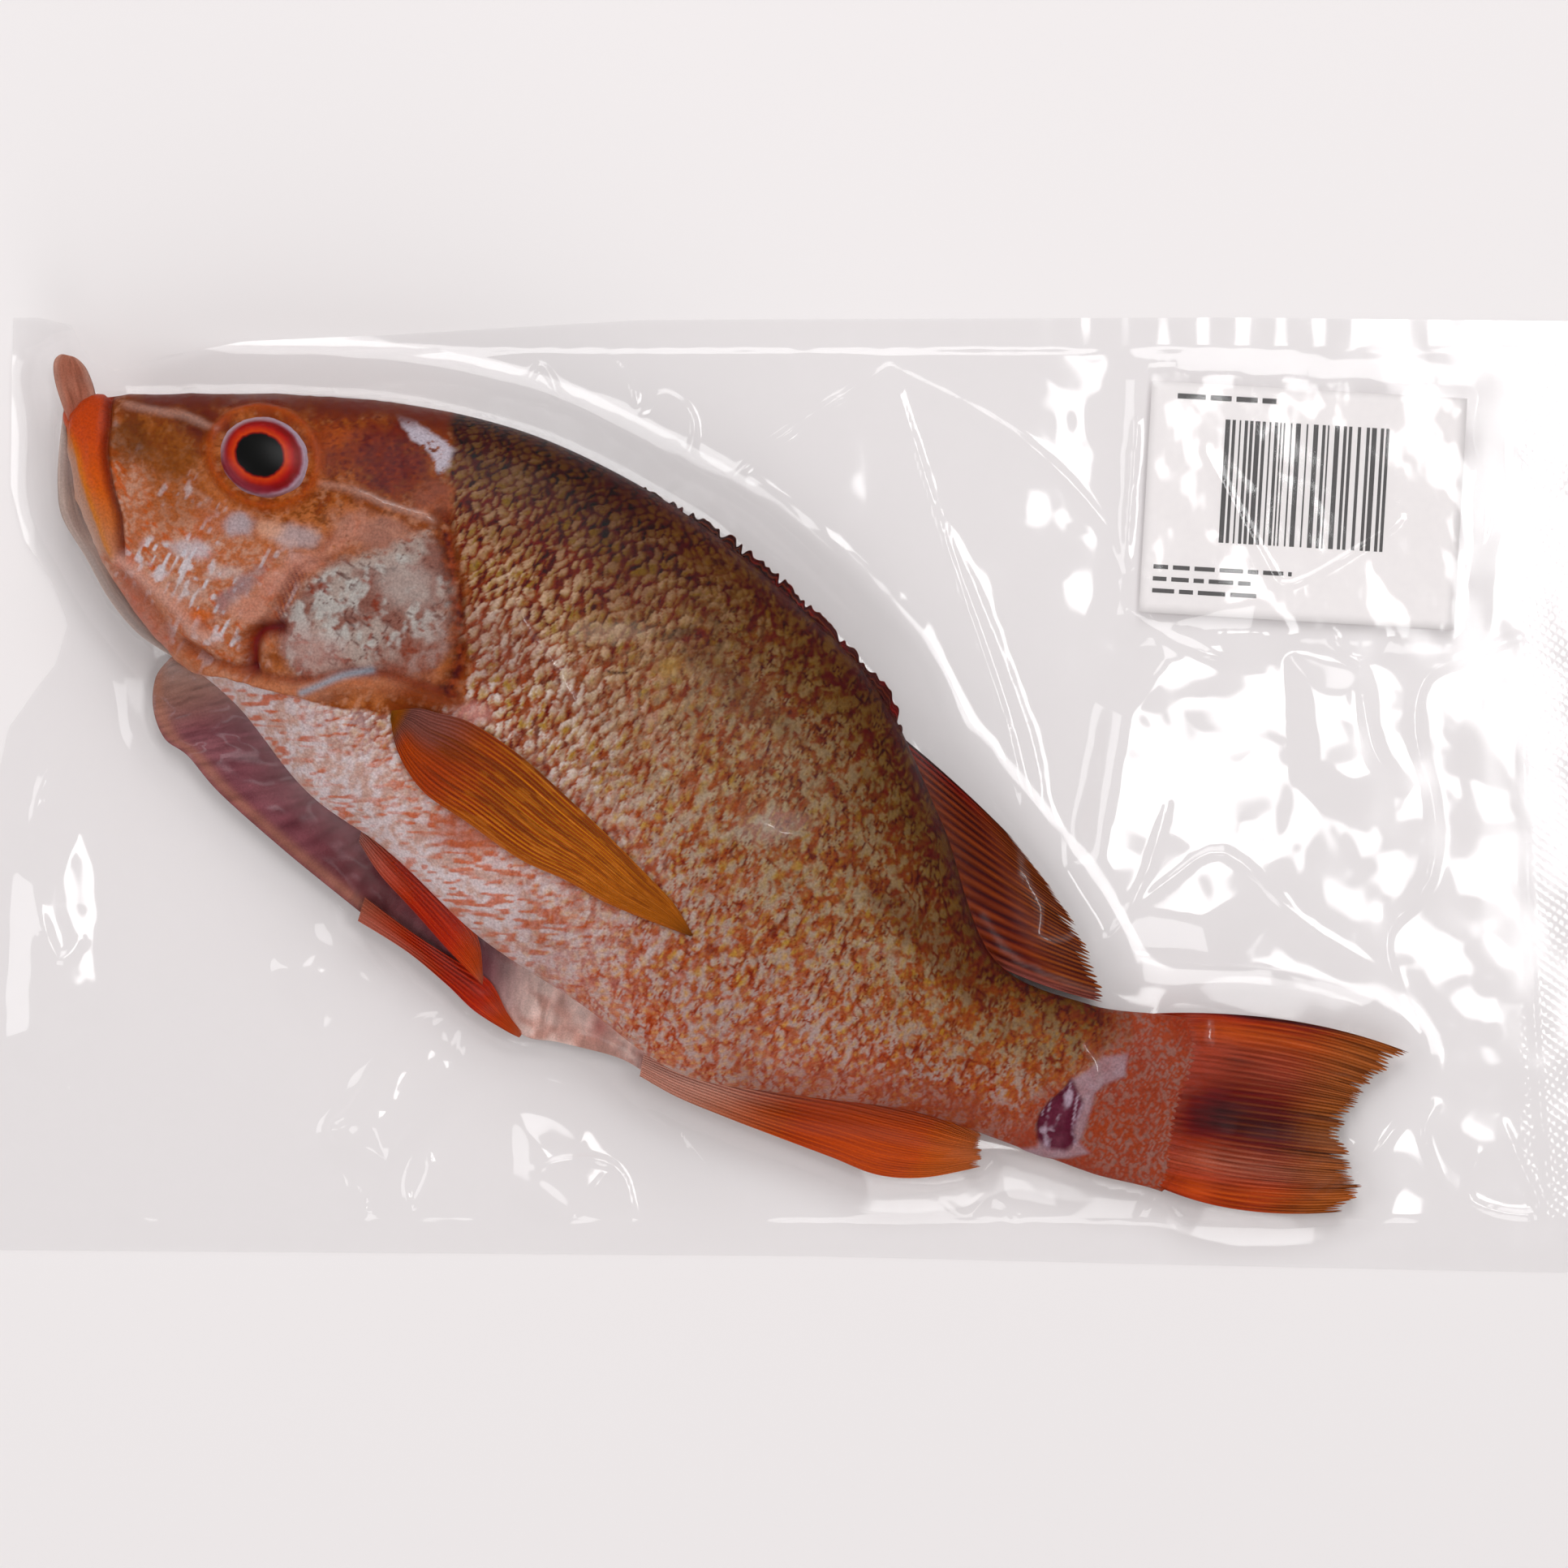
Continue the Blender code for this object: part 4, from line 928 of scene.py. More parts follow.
def fin(name, place, heights, thickness, rays, tones, rows=70, fray=0.0, ridge=0.3, seed=1, on_flank=False,
        leaves_body=0.0):
    """A rayed fin as one closed sheet.

    place gives (along, up); heights and thickness run from root to tip; ridge is how far a ray
    stands up; fray is the share of length lost between the ray tips. tones(s, t, ray) colours it.
    Over its first leaves_body share it rises out of the body's own surface.
    """
    columns = rays * RAY_STEPS + 1
    s, t = np.meshgrid(np.linspace(0.0, 1.0, rows), np.linspace(0.0, 1.0, columns), indexing="ij")
    ray = 0.5 + 0.5 * np.cos(2 * np.pi * rays * t)
    split = 0.5 + 0.5 * np.cos(4 * np.pi * rays * t)
    ray = ray + (split - ray) * 0.7 * ease(s, 0.45, 0.8)
    own = np.random.default_rng(seed).random(rays + 1)
    loss = own[np.round(t * rays).astype(int)]
    length = 1 - fray * ((1 - ray) ** 2 * (0.35 + 0.65 * loss) + 0.35 * loss)
    where = place(s * length, t)
    along, up = where[..., 0], where[..., 1]
    middle = heights[0] + (heights[1] - heights[0]) * s
    if on_flank:
        middle = middle + flank_height(along, up)
    if leaves_body:
        below_skin = flank_height(along, up) - thickness[0]
        middle = below_skin + (middle - below_skin) * ease(s, 0.0, leaves_body)
    half = (thickness[0] + (thickness[1] - thickness[0]) * s) / 2
    ripple = 0.5 * (mottle(along, up, 9.0, seed) - 0.5)
    rib = ridge * ray * (1 - 0.55 * s) + ripple
    upper = to_row(along, up, middle + half + rib)
    lower = to_row(along, up, middle - half + ripple)
    hairs = (noise(s * 5.0, t * rays * 2.7, 1.0, seed + 3)
             + 0.7 * noise(s * 9.0, t * rays * 6.1, 1.0, seed + 4))
    colours = tones(s, t, ray) * (0.66 + 0.40 * hairs)[..., None]
    faces_down = normals_of(upper)[rows // 2, columns // 2, 2] < 0
    order = slice(None, None, -1 if faces_down else 1)
    points, faces = closed_sheet(upper[:, order], lower[:, order])
    colours = colours[:, order]
    made = make_piece(name, points, faces, wet_fin, "fish_skin",
                      np.concatenate([colours.reshape(-1, 3)] * 2))
    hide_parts("fish")
    upper_points.append(points[:len(points) // 2])
    lower_points.append(points[len(points) // 2:])


# Wet fin membrane: as satin as the skin, but with a finer grain of 0.35 mm
FIN_GRAIN = 0.35
wet_fin = paint_of("wet_fin_membrane")
tone = grained_tone(wet_fin, cloud_of(wet_fin, FIN_GRAIN, 2.0), 0.86, 1.12)
principled(wet_fin, {"Base Color": tone, "Roughness": 0.48, "IOR": 1.40, "Specular IOR Level": 0.09})


def tail_tones(s, t, ray):
    """Red-orange above and below, a dark streak in the middle, olive-brown tips, darker between rays.

    Its root still carries the small red scale marks of the stalk on lilac-grey skin.
    """
    sway = t + 0.03 * (noise(s * 6.0, t * 8.0, 1.0, 92) - 0.5)
    colour = band(sway, [(0.0, "#3A0C08"), (0.03, "#9C3410"), (0.10, "#B04A1C"), (0.20, "#983E2A"),
                         (0.32, "#88382A"), (0.42, "#6A2014"), (0.55, "#4E120A"), (0.64, "#842E1C"),
                         (0.74, "#A44E38"), (0.84, "#A8422A"), (0.92, "#B84814"), (1.0, "#A63A0C")])
    streak = np.exp(-((sway - 0.47 - 0.08 * s) / 0.075) ** 2) * ease(s, 0.12, 0.34)
    streak = streak * (1 - 0.5 * ease(s, 0.70, 0.92))
    colour = mix(colour, "#2A0402", 0.90 * streak * (0.5 + 0.5 * ray))
    haze = np.exp(-((sway - 0.72) / 0.07) ** 2) * ease(s, 0.2, 0.4) * (1 - ease(s, 0.8, 0.95))
    colour = mix(colour, "#9C6254", 0.60 * haze * ray)
    tips = ease(s + 0.10 * (ray - 0.5) + 0.12 * (np.abs(sway - 0.5) - 0.3), 0.62, 0.96)
    colour = coats(colour, [
        ("#A8622E", 0.75 * tips * (1 - 0.5 * streak)),
        ("#44120A", 0.50 * (1 - ray) ** 2 * ease(s, 0.30, 0.7)),
        ("#3A1A0C", 0.55 * ease(noise(s * 3.0, t * 90.0, 1.0, 90), 0.55, 0.70) * tips),
        ("#B06A4A", 0.22 * ray ** 2 * ease(s, 0.3, 0.6)),
    ])
    worms = 1 - np.abs(2 * noise(s * 62.0 + 3.0 * t, t * 34.0 + 10.0 * s, 1.0, 91) - 1)
    worms = ease(worms, 0.46, 0.78)
    small_scales = mix("#86504A", mix("#92361C", "#8A3626", t), worms)
    small_scales = mix(small_scales, "#8A3428", 0.75 * ease(s, 0.06, 0.22))
    edge = np.maximum(1 - ease(t, 0.08, 0.2), ease(t, 0.80, 0.92))
    small_scales = mix(small_scales, "#94300E", 0.7 * edge)
    root = 1 - ease(s + 0.22 * (mottle(s * 40.0, t * 30.0, 6.0, 93) - 0.5), 0.08, 0.40)
    return mix(colour, small_scales, 0.95 * root)


def soft_back_tones(s, t, ray):
    """Orange-brown skin with near-black lines between the rays, tan ray tips, pink fold below."""
    colour = band(t, [(0.0, "#4A1206"), (0.06, "#8C2C0E"), (0.16, "#7A3618"), (0.5, "#74360F"),
                      (0.85, "#7C3414"), (1.0, "#6A2C1C")])
    colour = mix(colour, "#260A04", 0.85 * (1 - ray) ** 2 * ease(s, 0.02, 0.30))
    tips = ease(s + 0.15 * (t - 0.5), 0.50, 0.85)
    colour = coats(colour, [
        ("#9C5428", 0.65 * ray * tips),
        ("#2E1208", 0.60 * (1 - ray) * tips),
    ])
    return mix(colour, "#8A4C46", 0.75 * ease(t, 0.90, 0.97) * ease(s, 0.05, 0.3))


def spiny_back_tones(s, t, ray):
    """Red-brown folded spines between torn strands of bright red skin."""
    colour = mix("#4E180A", "#7E4432", ray * 0.5)
    torn = ease(noise(s * 60.0, t * 4.0 + 6.0 * s, 1.0, 94), 0.55, 0.75)
    colour = mix(colour, "#8C1C08", 0.65 * torn * (1 - ease(t, 0.2, 0.7)))
    return mix(colour, "#260804", 0.7 * (1 - ray))


def anal_tones(s, t, ray):
    """Bright orange, a pale scaled strip at its base, reddish at the front and yellower tips."""
    colour = band(s, [(0.0, "#CC9484"), (0.25, "#BC6A44"), (0.5, "#B4460C"), (0.8, "#BC4E14"),
                      (1.0, "#C4703C")])
    colour = coats(colour, [
        ("#D49C8A", 0.85 * (1 - ease(s + 0.25 * t, 0.30, 0.62))),
        ("#8A2E0A", 0.5 * (1 - ray) * ease(s, 0.2, 0.5)),
    ])
    return mix(colour, "#C08A74", 0.6 * (1 - ease(t, 0.02, 0.10)) * ease(s, 0.3, 0.5))


def breast_tones(s, t, ray):
    """Yellow lobe and mauve skin at the root, an orange blush, then golden rays towards the tip."""
    colour = band(s, [(0.0, "#B4701A"), (0.05, "#A85C18"), (0.09, "#7C4C42"), (0.25, "#84463A"),
                      (0.38, "#943808"), (0.6, "#A04A10"), (0.8, "#B05818"), (1.0, "#BC6428")])
    blush = ease(t, 0.35, 0.75) * ease(s, 0.06, 0.16) * (1 - ease(s, 0.40, 0.62))
    colour = coats(colour, [
        ("#A8400C", 0.80 * blush),
        ("#7C4C46", 0.7 * (1 - ease(t, 0.2, 0.6)) * ease(s, 0.06, 0.12) * (1 - ease(s, 0.25, 0.42))),
        ("#C08424", 0.70 * ray ** 2 * ease(s, 0.30, 0.55)),
        ("#702E04", 0.75 * (1 - ray) ** 2 * ease(s, 0.12, 0.40)),
    ])
    lines = noise(s * 6.0, t * 24.0 + 2.0 * s, 1.0, 97)
    colour = mix(colour, "#6E3406", 0.60 * ease(lines, 0.55, 0.72) * ease(s, 0.15, 0.35)
                 * (1 - ease(s, 0.8, 1.0)))
    flecks = ease(noise(s * 40.0, t * 26.0, 1.0, 98), 0.60, 0.78) * ease(s, 0.30, 0.50)
    colour = mix(colour, "#C8783C", 0.30 * flecks)
    return mix(colour, "#B06030", 0.5 * ease(t, 0.85, 1.0) * ease(s, 0.3, 0.5))


def belly_fin_tones(s, t, ray):
    """Deep red-orange rays with paler skin between them near the root."""
    colour = band(s, [(0.0, "#9C5A48"), (0.20, "#B4381A"), (0.6, "#BE380E"), (0.85, "#C4552C"),
                      (1.0, "#CC7450")])
    colour = mix(colour, "#8E1C06", 0.60 * (1 - ray) * ease(s, 0.1, 0.3))
    return mix(colour, "#B46A5C", 0.50 * (1 - ease(s, 0.15, 0.40)) * ease(t, 0.4, 0.8))


TAIL_ROOT = [(255.0, -7.0), (258.0, -14.0), (262.0, -24.0), (266.0, -32.0), (269.0, -37.5)]
TAIL_EDGE = [(308.5, 11.8), (306.0, 6.0), (304.0, 0.5), (304.5, -3.0), (304.0, -9.0), (308.0, -13.5),
             (311.0, -16.5), (313.0, -18.5), (311.5, -24.0)]
fin("tail_fin", fan(TAIL_ROOT, TAIL_EDGE, 3.4), (8.2, 3.4), (3.2, 0.9), 34, tail_tones, rows=110, fray=0.10,
    ridge=0.42, seed=3, leaves_body=0.42)
SOFT_FIN_ROOT = [(177.0, 22.5), (185.5, 17.0), (194.0, 10.0), (202.0, 2.0), (210.0, -6.5), (221.0, -12.0)]
SOFT_FIN_EDGE = [(215.7, 12.7), (224.9, 8.4), (232.2, 4.5), (238.2, 0.8), (243.7, -3.2), (247.4, -8.2)]
fin("soft_back_fin", fan(SOFT_FIN_ROOT, SOFT_FIN_EDGE, 0.8), (9.5, 5.0), (2.6, 0.9), 18, soft_back_tones,
    rows=120, fray=0.13, ridge=0.5, seed=5, leaves_body=0.55)
SPINY_FIN_OUTER = [(112.0, 42.6), (122.5, 42.4), (133.0, 42.2), (143.5, 40.0), (155.0, 36.8),
                   (166.0, 33.2), (177.0, 29.0), (181.0, 25.6), (186.0, 19.0)]
SPINY_FIN_INNER = [(114.0, 38.0), (122.5, 37.6), (133.0, 36.6), (143.5, 34.2), (155.0, 30.6),
                   (166.0, 26.6), (177.0, 21.6), (186.0, 16.0)]
# Its outer edge is torn: notches in the skin about 1 mm wide and up to 2 mm deep
TEAR_STEP = 0.8
TEAR_DEPTH = 2.0
torn_along = np.arange(SPINY_FIN_OUTER[0][0], SPINY_FIN_OUTER[-1][0], TEAR_STEP)
torn_up = np.interp(torn_along, *zip(*SPINY_FIN_OUTER))
torn_up -= TEAR_DEPTH * np.random.default_rng(17).random(len(torn_up)) ** 2
torn_edge = [*zip(torn_along, torn_up), SPINY_FIN_OUTER[-1]]
fin("spiny_back_fin", leaf(torn_edge, SPINY_FIN_INNER), (17.0, 14.6), (2.6, 1.6), 5, spiny_back_tones,
    rows=300, ridge=0.7, seed=7)
ANAL_FIN_BASE = [(166.0, -60.0), (179.0, -57.5), (191.0, -54.5), (210.5, -47.5), (227.0, -43.5),
                 (237.0, -44.5)]
ANAL_FIN_OUTER = [(168.0, -66.5), (177.0, -66.8), (188.5, -65.8), (197.5, -64.8), (211.0, -63.2),
                  (221.5, -62.0), (230.5, -58.0), (240.0, -50.5)]
fin("anal_fin", leaf(ANAL_FIN_BASE, ANAL_FIN_OUTER), (9.0, 5.2), (2.6, 0.9), 16, anal_tones, rows=120,
    fray=0.05, ridge=0.35, seed=9)
BREAST_FIN_UPPER = [(88.5, -22.5), (93.0, -19.6), (97.0, -18.6), (104.0, -17.2), (116.0, -18.5),
                    (129.0, -21.8), (139.5, -24.8), (151.0, -28.5), (158.0, -31.0), (164.4, -34.9)]
BREAST_FIN_LOWER = [(89.0, -24.0), (92.5, -28.5), (97.0, -32.0), (103.0, -34.6), (112.0, -35.6),
                    (125.5, -37.4), (136.0, -36.9), (145.0, -37.2), (155.0, -36.4), (164.0, -35.3)]
fin("breast_fin", leaf(BREAST_FIN_UPPER, BREAST_FIN_LOWER), (0.35, 0.30), (1.2, 0.5), 20, breast_tones,
    rows=200, ridge=0.35, seed=11, on_flank=True)
NEAR_BELLY_FIN_UPPER = [(93.0, -46.0), (104.0, -48.3), (112.5, -50.5), (119.5, -52.8), (125.5, -57.0),
                        (129.8, -63.5)]
NEAR_BELLY_FIN_LOWER = [(94.0, -50.0), (101.0, -54.0), (110.5, -57.5), (120.0, -61.2), (126.5, -63.4),
                        (130.2, -64.6)]
fin("near_belly_fin", leaf(NEAR_BELLY_FIN_UPPER, NEAR_BELLY_FIN_LOWER), (16.2, 12.4), (2.0, 1.2), 9,
    belly_fin_tones, rows=80, ridge=0.4, seed=13)
FAR_BELLY_FIN_UPPER = [(100.0, -60.0), (112.0, -62.0), (123.0, -63.0), (131.0, -63.5), (137.5, -67.8),
                       (142.2, -70.0)]
FAR_BELLY_FIN_LOWER = [(101.0, -65.0), (113.0, -66.0), (123.5, -68.3), (131.0, -70.5), (138.5, -71.2),
                       (142.0, -71.2)]
fin("far_belly_fin", leaf(FAR_BELLY_FIN_UPPER, FAR_BELLY_FIN_LOWER), (7.4, 5.0), (2.0, 1.2), 7,
    belly_fin_tones, rows=80, ridge=0.4, seed=15)


# Loose belly wall: the far half of the opened belly, lying out beyond the near one with its purple
# inner skin up. Its rim is a thick brown-grey lip, and its rear end is pink-white flesh.
def wall_tones(s, t, ray):
    """Purple inner skin, brown-grey lip at the edge, pale pink flesh towards the tail."""
    speck = mottle(s * 30.0, t * 150.0, 9.0, 90)
    colour = mix("#703C46", "#8E5C62", speck)
    colour = mix(colour, "#A07868", (1 - ease(t, 0.10, 0.26)) * 0.8)
    veins = 1 - np.abs(2 * noise(s * 5.0 + 2.0 * speck, t * 26.0, 1.0, 97) - 1)
    colour = coats(colour, [
        ("#A48A90", 0.45 * ease(veins, 0.86, 0.98) * ease(speck, 0.4, 0.6)),
        ("#6E3436", 0.6 * np.exp(-((t - 0.55) / 0.08) ** 2)),
    ])
    flesh = ease(t, 0.70, 0.79)
    colour = coats(colour, [
        (mix("#DCBEB6", "#C49488", ease(speck, 0.45, 0.7)), flesh),
        ("#A6705C", 0.6 * np.exp(-((s - 0.93) / 0.06) ** 2) * (1 - flesh)),
    ])
    red_end = ease(t, 0.93, 0.99)
    colour = mix(colour, "#9A3E30", 0.6 * red_end)
    return mix(colour, "#A02A18", 0.7 * np.exp(-((t - 0.89) / 0.012) ** 2 - ((s - 0.6) / 0.2) ** 2))


WALL_ROOT = [(46.0, -29.0), (62.0, -33.0), (85.0, -40.0), (110.0, -44.0), (140.0, -51.0), (168.0, -57.0)]
WALL_EDGE = [(40.8, -34.5), (40.0, -39.5), (42.5, -45.5), (47.5, -50.0), (53.5, -51.0), (63.0, -54.8),
             (80.5, -59.2), (97.5, -62.7), (112.0, -65.4), (128.0, -68.0), (142.0, -70.4), (150.0, -68.2),
             (162.0, -65.4), (169.0, -65.6)]
fin("far_belly_wall", fan(WALL_ROOT, WALL_EDGE), (7.6, 4.6), (2.6, 2.2), 40, wall_tones, rows=80, ridge=0.0,
    seed=17)
JAW_TIP_UPPER = [(0.5, -0.5), (-3.0, 2.6), (-6.2, 6.0), (-7.9, 9.0), (-7.4, 11.0), (-5.6, 11.6)]
JAW_TIP_LOWER = [(5.0, 3.0), (3.4, 6.0), (1.2, 8.6), (-1.6, 10.9), (-4.0, 11.8), (-5.5, 11.7)]


def jaw_tip_tones(s, t, ray):
    """Brown-pink skin, paler at its border, with a red root."""
    border = np.maximum(1 - ease(t, 0.0, 0.25), np.maximum(ease(t, 0.75, 1.0), ease(s, 0.8, 1.0)))
    colour = mix("#8A4A38", "#A46E5C", mottle(s * 12.0, t * 9.0, 4.0, 95))
    colour = mix(colour, "#B48A7C", 0.6 * border)
    return mix(colour, "#94402E", 0.7 * (1 - ease(s, 0.0, 0.22)))


def membrane_tones(s, t, ray):
    """Grey-brown skin that fades to a pale outer border."""
    colour = mix("#A08070", "#8A6A60", mottle(s * 30.0, t * 5.0, 3.0, 96))
    return mix(colour, "#BFAEA6", 0.75 * (1 - ease(t, 0.0, 0.45)))


LIP_MEMBRANE_OUTER = [(-2.6, 2.4), (0.8, -6.6), (4.2, -13.8), (8.0, -19.0), (15.7, -23.8), (24.2, -29.4),
                      (32.7, -33.0), (41.0, -34.0)]
LIP_MEMBRANE_INNER = [(1.5, 0.5), (5.5, -6.6), (10.5, -12.5), (16.0, -17.5), (23.0, -22.4), (29.5, -26.2),
                      (36.5, -29.0), (42.5, -31.5)]
fin("lip_membrane", leaf(LIP_MEMBRANE_OUTER, LIP_MEMBRANE_INNER), (12.0, 9.0), (0.8, 0.8), 5,
    membrane_tones, rows=90, ridge=0.0, seed=21)
fin("jaw_tip", leaf(JAW_TIP_UPPER, JAW_TIP_LOWER), (16.8, 15.4), (2.8, 2.6), 5, jaw_tip_tones, rows=40,
    ridge=0.0, seed=19)


# Label: a plain white thermal card of 66 x 48.5 mm lying on the lower film. It bears only a row
# of bars of random widths and plain dashes where print would be.
LABEL_SIZE = (66.0, 48.5)
LABEL_THICKNESS = 0.4
LABEL_MIDDLE = (100.5, 60.6)
LABEL_TURN = math.radians(-3.3)
LABEL_HEIGHT = 1.35
LABEL_BOW = 0.5
LABEL_WAVE = 0.25
LABEL_GRID = (30, 24)


def label_place(right, high, level):
    """Points of the card in metres: turned into its place, bowed up at its ends and gently waved."""
    cosine = math.cos(LABEL_TURN)
    sine = math.sin(LABEL_TURN)
    x = LABEL_MIDDLE[0] + right * cosine - high * sine
    y = LABEL_MIDDLE[1] + right * sine + high * cosine
    bow = LABEL_BOW * (right / LABEL_SIZE[0] * 2) ** 2 + LABEL_WAVE * np.sin(high * 0.13)
    return np.stack([x, y, LABEL_HEIGHT + bow + level], axis=-1) * MM


# White coated thermal card, half matt, faintly clouded in 1.2 mm
CARD_FIBRE = 1.2
card_paper = paint_of("white_thermal_card")
principled(card_paper, {"Base Color": two_tone(card_paper, CARD_FIBRE, 3.0, "#F8F3F3", "#F1ECED"),
                        "Roughness": 0.55, "Specular IOR Level": 0.3})
right, high = np.meshgrid(np.linspace(-0.5, 0.5, LABEL_GRID[0]) * LABEL_SIZE[0],
                          np.linspace(-0.5, 0.5, LABEL_GRID[1]) * LABEL_SIZE[1])
points, faces = closed_sheet(label_place(right, high, LABEL_THICKNESS), label_place(right, high, 0.0))
label_card = make_piece("label_card", points, faces, card_paper, "label_card")
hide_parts("label")
label_points = points[:len(points) // 2]

# Thermal print: matt grey-black, unevenly developed in 0.6 mm
PRINT_GRAIN = 0.6
thermal_ink = paint_of("grey_thermal_print")
principled(thermal_ink, {"Base Color": two_tone(thermal_ink, PRINT_GRAIN, 2.0, "#2E2C2D", "#454243"),
                         "Roughness": 0.6})
BAR_FIELD = (-17.2, 17.8)
BAR_TOP = 17.0
BAR_FOOT = -8.8
BAR_STEP = 0.37
BAR_INK = 0.92
BAR_CUTS = 12
DASH_LENGTHS = (2.0, 6.0)
DASH_GAP = 1.0
INK_LIFT = 0.03
# Rows of dashes: left end, line, length and height of each
DASH_ROWS = [(-27.5, 20.8, 21.5, 1.1), (-30.5, -15.0, 29.0, 0.9), (-30.5, -17.5, 21.0, 0.9),
             (-30.5, -20.0, 22.5, 0.9)]
chances = np.random.default_rng(29)
boxes = []
edge = BAR_FIELD[0]
while edge < BAR_FIELD[1]:
    width = BAR_STEP * chances.integers(1, 4)
    boxes.append((edge, edge + width * BAR_INK, BAR_FOOT, BAR_TOP))
    edge += width + BAR_STEP * chances.integers(1, 4)
for left, line, length, tall in DASH_ROWS:
    start = left
    while start < left + length:
        width = chances.uniform(*DASH_LENGTHS)
        boxes.append((start, min(start + width, left + length), line, line + tall))
        start += width + DASH_GAP
# Each mark is a strip cut across into BAR_CUTS faces, so that it follows the card's bow
left, right, foot, top = np.array(boxes).T[:, :, None]
lines = foot + (top - foot) * np.linspace(0.0, 1.0, BAR_CUTS + 1)
sides = np.repeat(np.concatenate([left, right], axis=1)[:, None], BAR_CUTS + 1, axis=1)
points = label_place(sides, np.stack([lines, lines], axis=-1), LABEL_THICKNESS + INK_LIFT)
corner = (np.arange(len(boxes))[:, None] * (BAR_CUTS + 1) + np.arange(BAR_CUTS)).ravel() * 2
faces = np.stack([corner, corner + 1, corner + 3, corner + 2], axis=1)
print_marks = make_piece("label_marks", points, faces, thermal_ink, "label_card")
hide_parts("label")


# Vacuum bag: two films of clear polyamide and polyethylene, 200 x 350 mm, pressed together by the
# air outside. Over the fish the upper film clings from bump to bump; elsewhere the two lie on the
# table as one, creased where they are drawn in round the fish, and welded along the two long sides.
BAG_LENGTH = 350.0
BAG_WIDTH = 200.0
RASTER_STEP = 0.8
FILM_REACH = 4.0
FILM_GAP = 0.25
LEFT_EDGE = [(-100.0, -175.0), (-30.0, -175.0), (-5.0, -174.0), (12.0, -170.5), (26.5, -160.5),
             (35.5, -158.0), (43.5, -161.0), (52.0, -167.0), (64.0, -170.0), (100.0, -169.5)]
TOP_EDGE = [(-175.0, 100.0), (-164.0, 99.9), (-157.0, 98.2), (-153.2, 91.0), (-147.0, 88.2),
            (-138.0, 91.7), (-121.0, 95.0), (-90.0, 96.4), (-60.0, 98.2), (-37.0, 99.5), (83.0, 100.0),
            (175.0, 99.0)]
BOTTOM_EDGE = [(-175.0, -95.3), (-2.0, -96.6), (57.0, -98.0), (150.0, -100.0), (175.0, -100.0)]
raster_x = np.arange(-BAG_LENGTH / 2 - 2, BAG_LENGTH / 2 + 2, RASTER_STEP)
raster_y = np.arange(-BAG_WIDTH / 2 - 2, BAG_WIDTH / 2 + 2, RASTER_STEP)


def settle(points, keep, empty):
    """The points' heights in mm laid on the raster: in each square the highest or the lowest."""
    column = np.round((points[:, 0] / MM - raster_x[0]) / RASTER_STEP).astype(int)
    row = np.round((points[:, 1] / MM - raster_y[0]) / RASTER_STEP).astype(int)
    column = np.clip(column, 0, len(raster_x) - 1)
    row = np.clip(row, 0, len(raster_y) - 1)
    field = np.full((len(raster_y), len(raster_x)), empty)
    keep.at(field, (row, column), points[:, 2] / MM)
    return field


def neighbours(field):
    """Mean of the four squares next to each square."""
    padded = np.pad(field, 1, mode="edge")
    return (padded[:-2, 1:-1] + padded[2:, 1:-1] + padded[1:-1, :-2] + padded[1:-1, 2:]) / 4


def spread(field, keep):
    """Each square's highest or lowest neighbour, to close single gaps in a raster."""
    padded = np.pad(field, 1, mode="edge")
    around = [padded[1:-1, 1:-1], padded[:-2, 1:-1], padded[2:, 1:-1], padded[1:-1, :-2], padded[1:-1, 2:]]
    return keep.reduce(around)


def read(field, x, y):
    """The raster's value at places between its squares."""
    column = np.clip((x - raster_x[0]) / RASTER_STEP, 0, len(raster_x) - 1.001)
    row = np.clip((y - raster_y[0]) / RASTER_STEP, 0, len(raster_y) - 1.001)
    left = column.astype(int)
    low = row.astype(int)
    right = column - left
    high = row - low
    near = field[low, left] * (1 - right) + field[low, left + 1] * right
    far = field[low + 1, left] * (1 - right) + field[low + 1, left + 1] * right
    return near * (1 - high) + far * high


NONE_BELOW = -50.0
NONE_ABOVE = 90.0
JOIN_SWEEPS = 200
CLING_SWEEPS = 60
GAP_SWEEPS = 8
LABEL_SWEEPS = 3
# Drop of the joined films below the fish's middle, gaps in mm, and how much the upper film sags
JOIN_DROP = 0.35
PAIR_GAP = 0.45
LABEL_GAP = 0.2
LOWER_GAP = 0.15
LOWEST = 0.05
SAG = 0.012
top_side = spread(settle(np.concatenate(upper_points), np.maximum, NONE_BELOW), np.maximum)
low_side = spread(settle(np.concatenate(lower_points), np.minimum, NONE_ABOVE), np.minimum)
held = top_side > NONE_BELOW
for _ in range(GAP_SWEEPS):
    low_side = np.where(held & (low_side == NONE_ABOVE), spread(low_side, np.minimum), low_side)
low_side = np.where(held, np.minimum(low_side, np.maximum(top_side, 0.0)), NONE_ABOVE)
underside = np.where(low_side < NONE_ABOVE, low_side, 0.0)
middle_height = np.where(held, (np.maximum(top_side, 0.0) + underside) / 2, 0.0)
joined = middle_height.copy()
pull = (RASTER_STEP / FILM_REACH) ** 2
for _ in range(JOIN_SWEEPS):
    joined = np.where(held, middle_height, neighbours(joined) * 4 / (4 + pull))
joined = np.maximum(joined - JOIN_DROP, 0.0)
label_top = spread(settle(label_points, np.maximum, NONE_BELOW), np.maximum)
for _ in range(LABEL_SWEEPS):
    label_top = spread(label_top, np.maximum)
floor_of_top = np.where(held, top_side + FILM_GAP, np.maximum(joined + PAIR_GAP, label_top + LABEL_GAP))
upper_film = floor_of_top.copy()
for _ in range(CLING_SWEEPS):
    upper_film = np.maximum(floor_of_top, neighbours(upper_film) - SAG)
